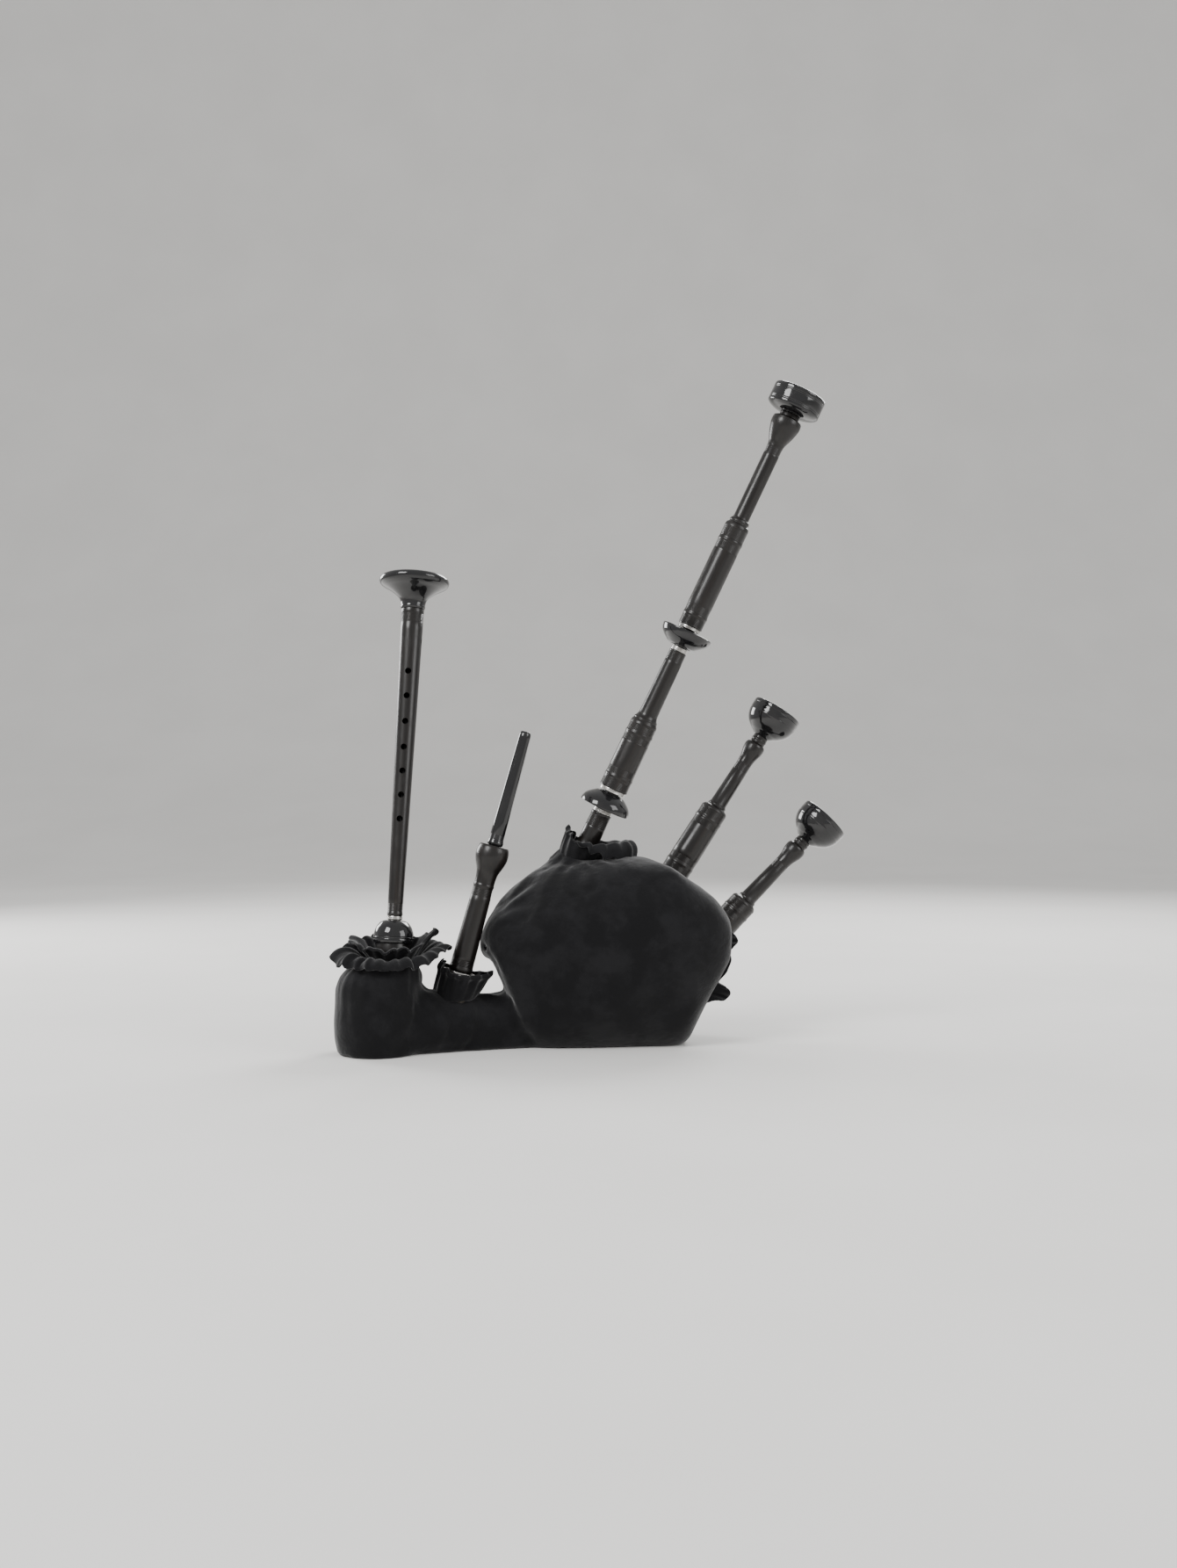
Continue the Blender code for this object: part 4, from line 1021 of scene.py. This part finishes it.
chanterFrill = ruffle("chanter_frill_cloth", "chanter_frill", "chanter", {
    "tie": 22.5, "foot": 88.0, "bulge": 3.0, "pleats": 22, "pleatDepth": 3.0, "around": 308,
    "rows": 18, "roll": 2.6, "shift": 0.4,
}, (
    (0, 59, 110, 7), (18, 54, 107, 7), (38, 57, 112, 8), (58, 50, 108, 8), (78, 52, 111, 8),
    (98, 46, 107, 8), (118, 50, 110, 8), (138, 48, 106, 8), (156, 54, 110, 9), (170, 56, 103, 10),
    (182, 63, 101, 10), (196, 56, 92, 10), (212, 55, 96, 10), (230, 49, 90, 9), (250, 51, 93, 9),
    (270, 48, 89, 8), (288, 50, 93, 9), (306, 48, 92, 8), (324, 53, 98, 9), (342, 53, 106, 8),
))
chanterInner = ruffle("chanter_frill_inner", "chanter_frill", "chanter", {
    "tie": 22.0, "foot": 95.0, "bulge": 2.0, "pleats": 17, "pleatDepth": 2.6, "around": 238,
    "rows": 14, "roll": 2.2, "shift": 2.1,
}, (
    (0, 44, 126, 3), (20, 39, 119, 3), (40, 42, 122, 3), (62, 37, 118, 2), (84, 40, 121, 3),
    (106, 36, 117, 2), (126, 40, 120, 3), (146, 39, 118, 2), (166, 47, 120, 4), (184, 45, 117, 3),
    (202, 44, 116, 4), (222, 38, 110, 3), (242, 40, 112, 4), (264, 36, 107, 3), (286, 39, 112, 4),
    (308, 37, 109, 3), (328, 40, 117, 3), (346, 44, 132, 3),
))
bassFrill = ruffle("bass_frill_cloth", "bass_frill", "bass", {
    "tie": 23.0, "foot": 194.0, "bulge": 2.5, "pleats": 16, "pleatDepth": 2.7, "around": 256,
    "rows": 18, "roll": 2.4, "shift": 1.3,
}, (
    (0, 58, 198, 17), (22, 54, 198, 17), (44, 46, 201, 15), (66, 38, 207, 11), (90, 34, 215, 8),
    (112, 31, 219, 5), (134, 30, 226, 4), (157, 28, 227, 3), (180, 28, 234, 3), (202, 27, 227, 3),
    (224, 30, 225, 4), (246, 31, 216, 5), (268, 34, 211, 8), (290, 38, 204, 11), (312, 46, 199, 15),
    (338, 55, 198, 17),
))
blowpipeFrill = ruffle("blowpipe_frill_cloth", "blowpipe_frill", "blowpipe", {
    "tie": 22.3, "foot": 52.0, "bulge": 0.8, "pleats": 15, "pleatDepth": 2.3, "around": 224,
    "rows": 18, "roll": 2.8, "shift": 2.2,
}, (
    (0, 32, 84, -3), (26, 31, 82, -2), (52, 29, 81, 0), (78, 27, 82, 1), (104, 25, 84, 1),
    (130, 23, 89, 1), (156, 22, 94, 0), (182, 21.5, 97, 0), (208, 22, 94, 0), (234, 24, 89, 1),
    (260, 26.5, 84, 1), (286, 28.5, 82, 0), (312, 30, 82, -1), (338, 31.5, 82, -2),
))


def seamFrill():    # a limp fin sewn into the seam at the bag's tapered end
    look = {"y": -44.0, "wave": 4.2, "rows": 8, "cloth": 1.2, "parts": 5}
    hem = (    # x and z of the seam, then of the hem beside it
        (138, 121, 147, 120), (139, 116, 154, 116), (139, 110, 157.5, 109), (138, 104, 153, 102),
        (137, 99, 148, 96.5), (135, 94, 151, 91), (132, 87, 149.5, 83), (129, 80, 143, 73),
        (126, 74, 137.5, 65), (123, 68, 145, 60.5), (121, 62, 150, 54.5), (119, 56, 145.5, 47),
        (117, 51, 133, 46.5), (114, 45, 124, 43), (110, 36, 118, 33), (106, 28, 112, 24),
    )
    line = curved(hem, look["parts"])
    rows = []
    for row in range(look["rows"] + 1):
        share = row / look["rows"]
        rows.append([])
        for k, (x0, z0, x1, z1) in enumerate(line):
            turn = k / look["parts"]
            wave = look["wave"] * share ** 0.8 * (sin(turn * 2.5) + 0.45 * sin(turn * 5.3 + 1.0))
            x, z = x0 + (x1 - x0) * share, z0 + (z1 - z0) * share
            rows[-1].append(Vector((x, look["y"] + wave, z)) * mm)
    return sheetPiece("seam_frill_cloth", "seam_frill", rows, look["cloth"], ring=False)


finFrill = seamFrill()
print("frills done")


# the CAD nodes that keep their shape get their finish here
for node, obj in frame["nodes"].items():
    if not obj.hide_render:
        for k in range(len(obj.material_slots)):
            obj.material_slots[k].material = finishFor(node)


def studio():
    look = {
        "floor": (0.80, 0.79, 0.77), "floorShade": (0.76, 0.75, 0.73), "wall": (0.93, 0.93, 0.93),
        "wallLight": 0.75, "eye": (0, -1.8, 0.2747), "lens": 38.21,
    }
    deselectAll()
    bpy.ops.mesh.primitive_plane_add(size=12, location=(0, 0, 0))
    floor = bpy.context.object
    floor.name = "floor"
    for edge in floor.data.edges:
        edge.select = all(floor.data.vertices[k].co.y > 0 for k in edge.vertices)
    for face in floor.data.polygons:
        face.select = False
    for vertex in floor.data.vertices:
        vertex.select = vertex.co.y > 0
    editing()
    bpy.ops.mesh.select_mode(type="EDGE")
    extruded(0, 7000)
    doneEditing()
    sweep = floor.modifiers.new("Sweep", "BEVEL")    # the floor curves up into the backdrop
    sweep.width, sweep.segments = 3.0, 24
    sweep.limit_method, sweep.angle_limit = "ANGLE", radians(30)
    applyModifiers(floor)
    choose(floor)
    bpy.ops.object.shade_smooth()
    paint = Finish("floor", Roughness=0.85)
    tone = paint.ease(paint.cloud(paint.place(), 3.0), 0.2, 0.8)
    shade = paint.blend(tone, look["floor"], look["floorShade"])
    floor.data.materials.append(paint.show(Base_Color=shade))

    world = bpy.data.worlds.new("studio")
    bpy.context.scene.world = world
    world.use_nodes = True
    world.node_tree.nodes["Background"].inputs["Color"].default_value = (*look["wall"], 1)
    world.node_tree.nodes["Background"].inputs["Strength"].default_value = look["wallLight"]

    aim = Vector((0, 0, 0.32))
    for name, place, size, power in (
        ("key", (-1.5, -1.7, 1.9), 1.1, 60), ("fill", (1.9, -1.2, 1.1), 1.2, 22),
        ("back", (0.9, 1.7, 1.6), 1.0, 45), ("rim", (-1.6, 1.2, 0.9), 0.8, 26),
    ):
        bpy.ops.object.light_add(type="AREA", location=place)
        light = bpy.context.object
        light.name = name
        light.data.size, light.data.energy = size, power
        light.rotation_euler = (aim - Vector(place)).to_track_quat("-Z", "Y").to_euler()

    bpy.ops.object.camera_add(location=look["eye"], rotation=(pi / 2, 0, 0))
    camera = bpy.context.object
    camera.data.lens = look["lens"]
    bpy.context.scene.camera = camera


studio()
print("studio done")
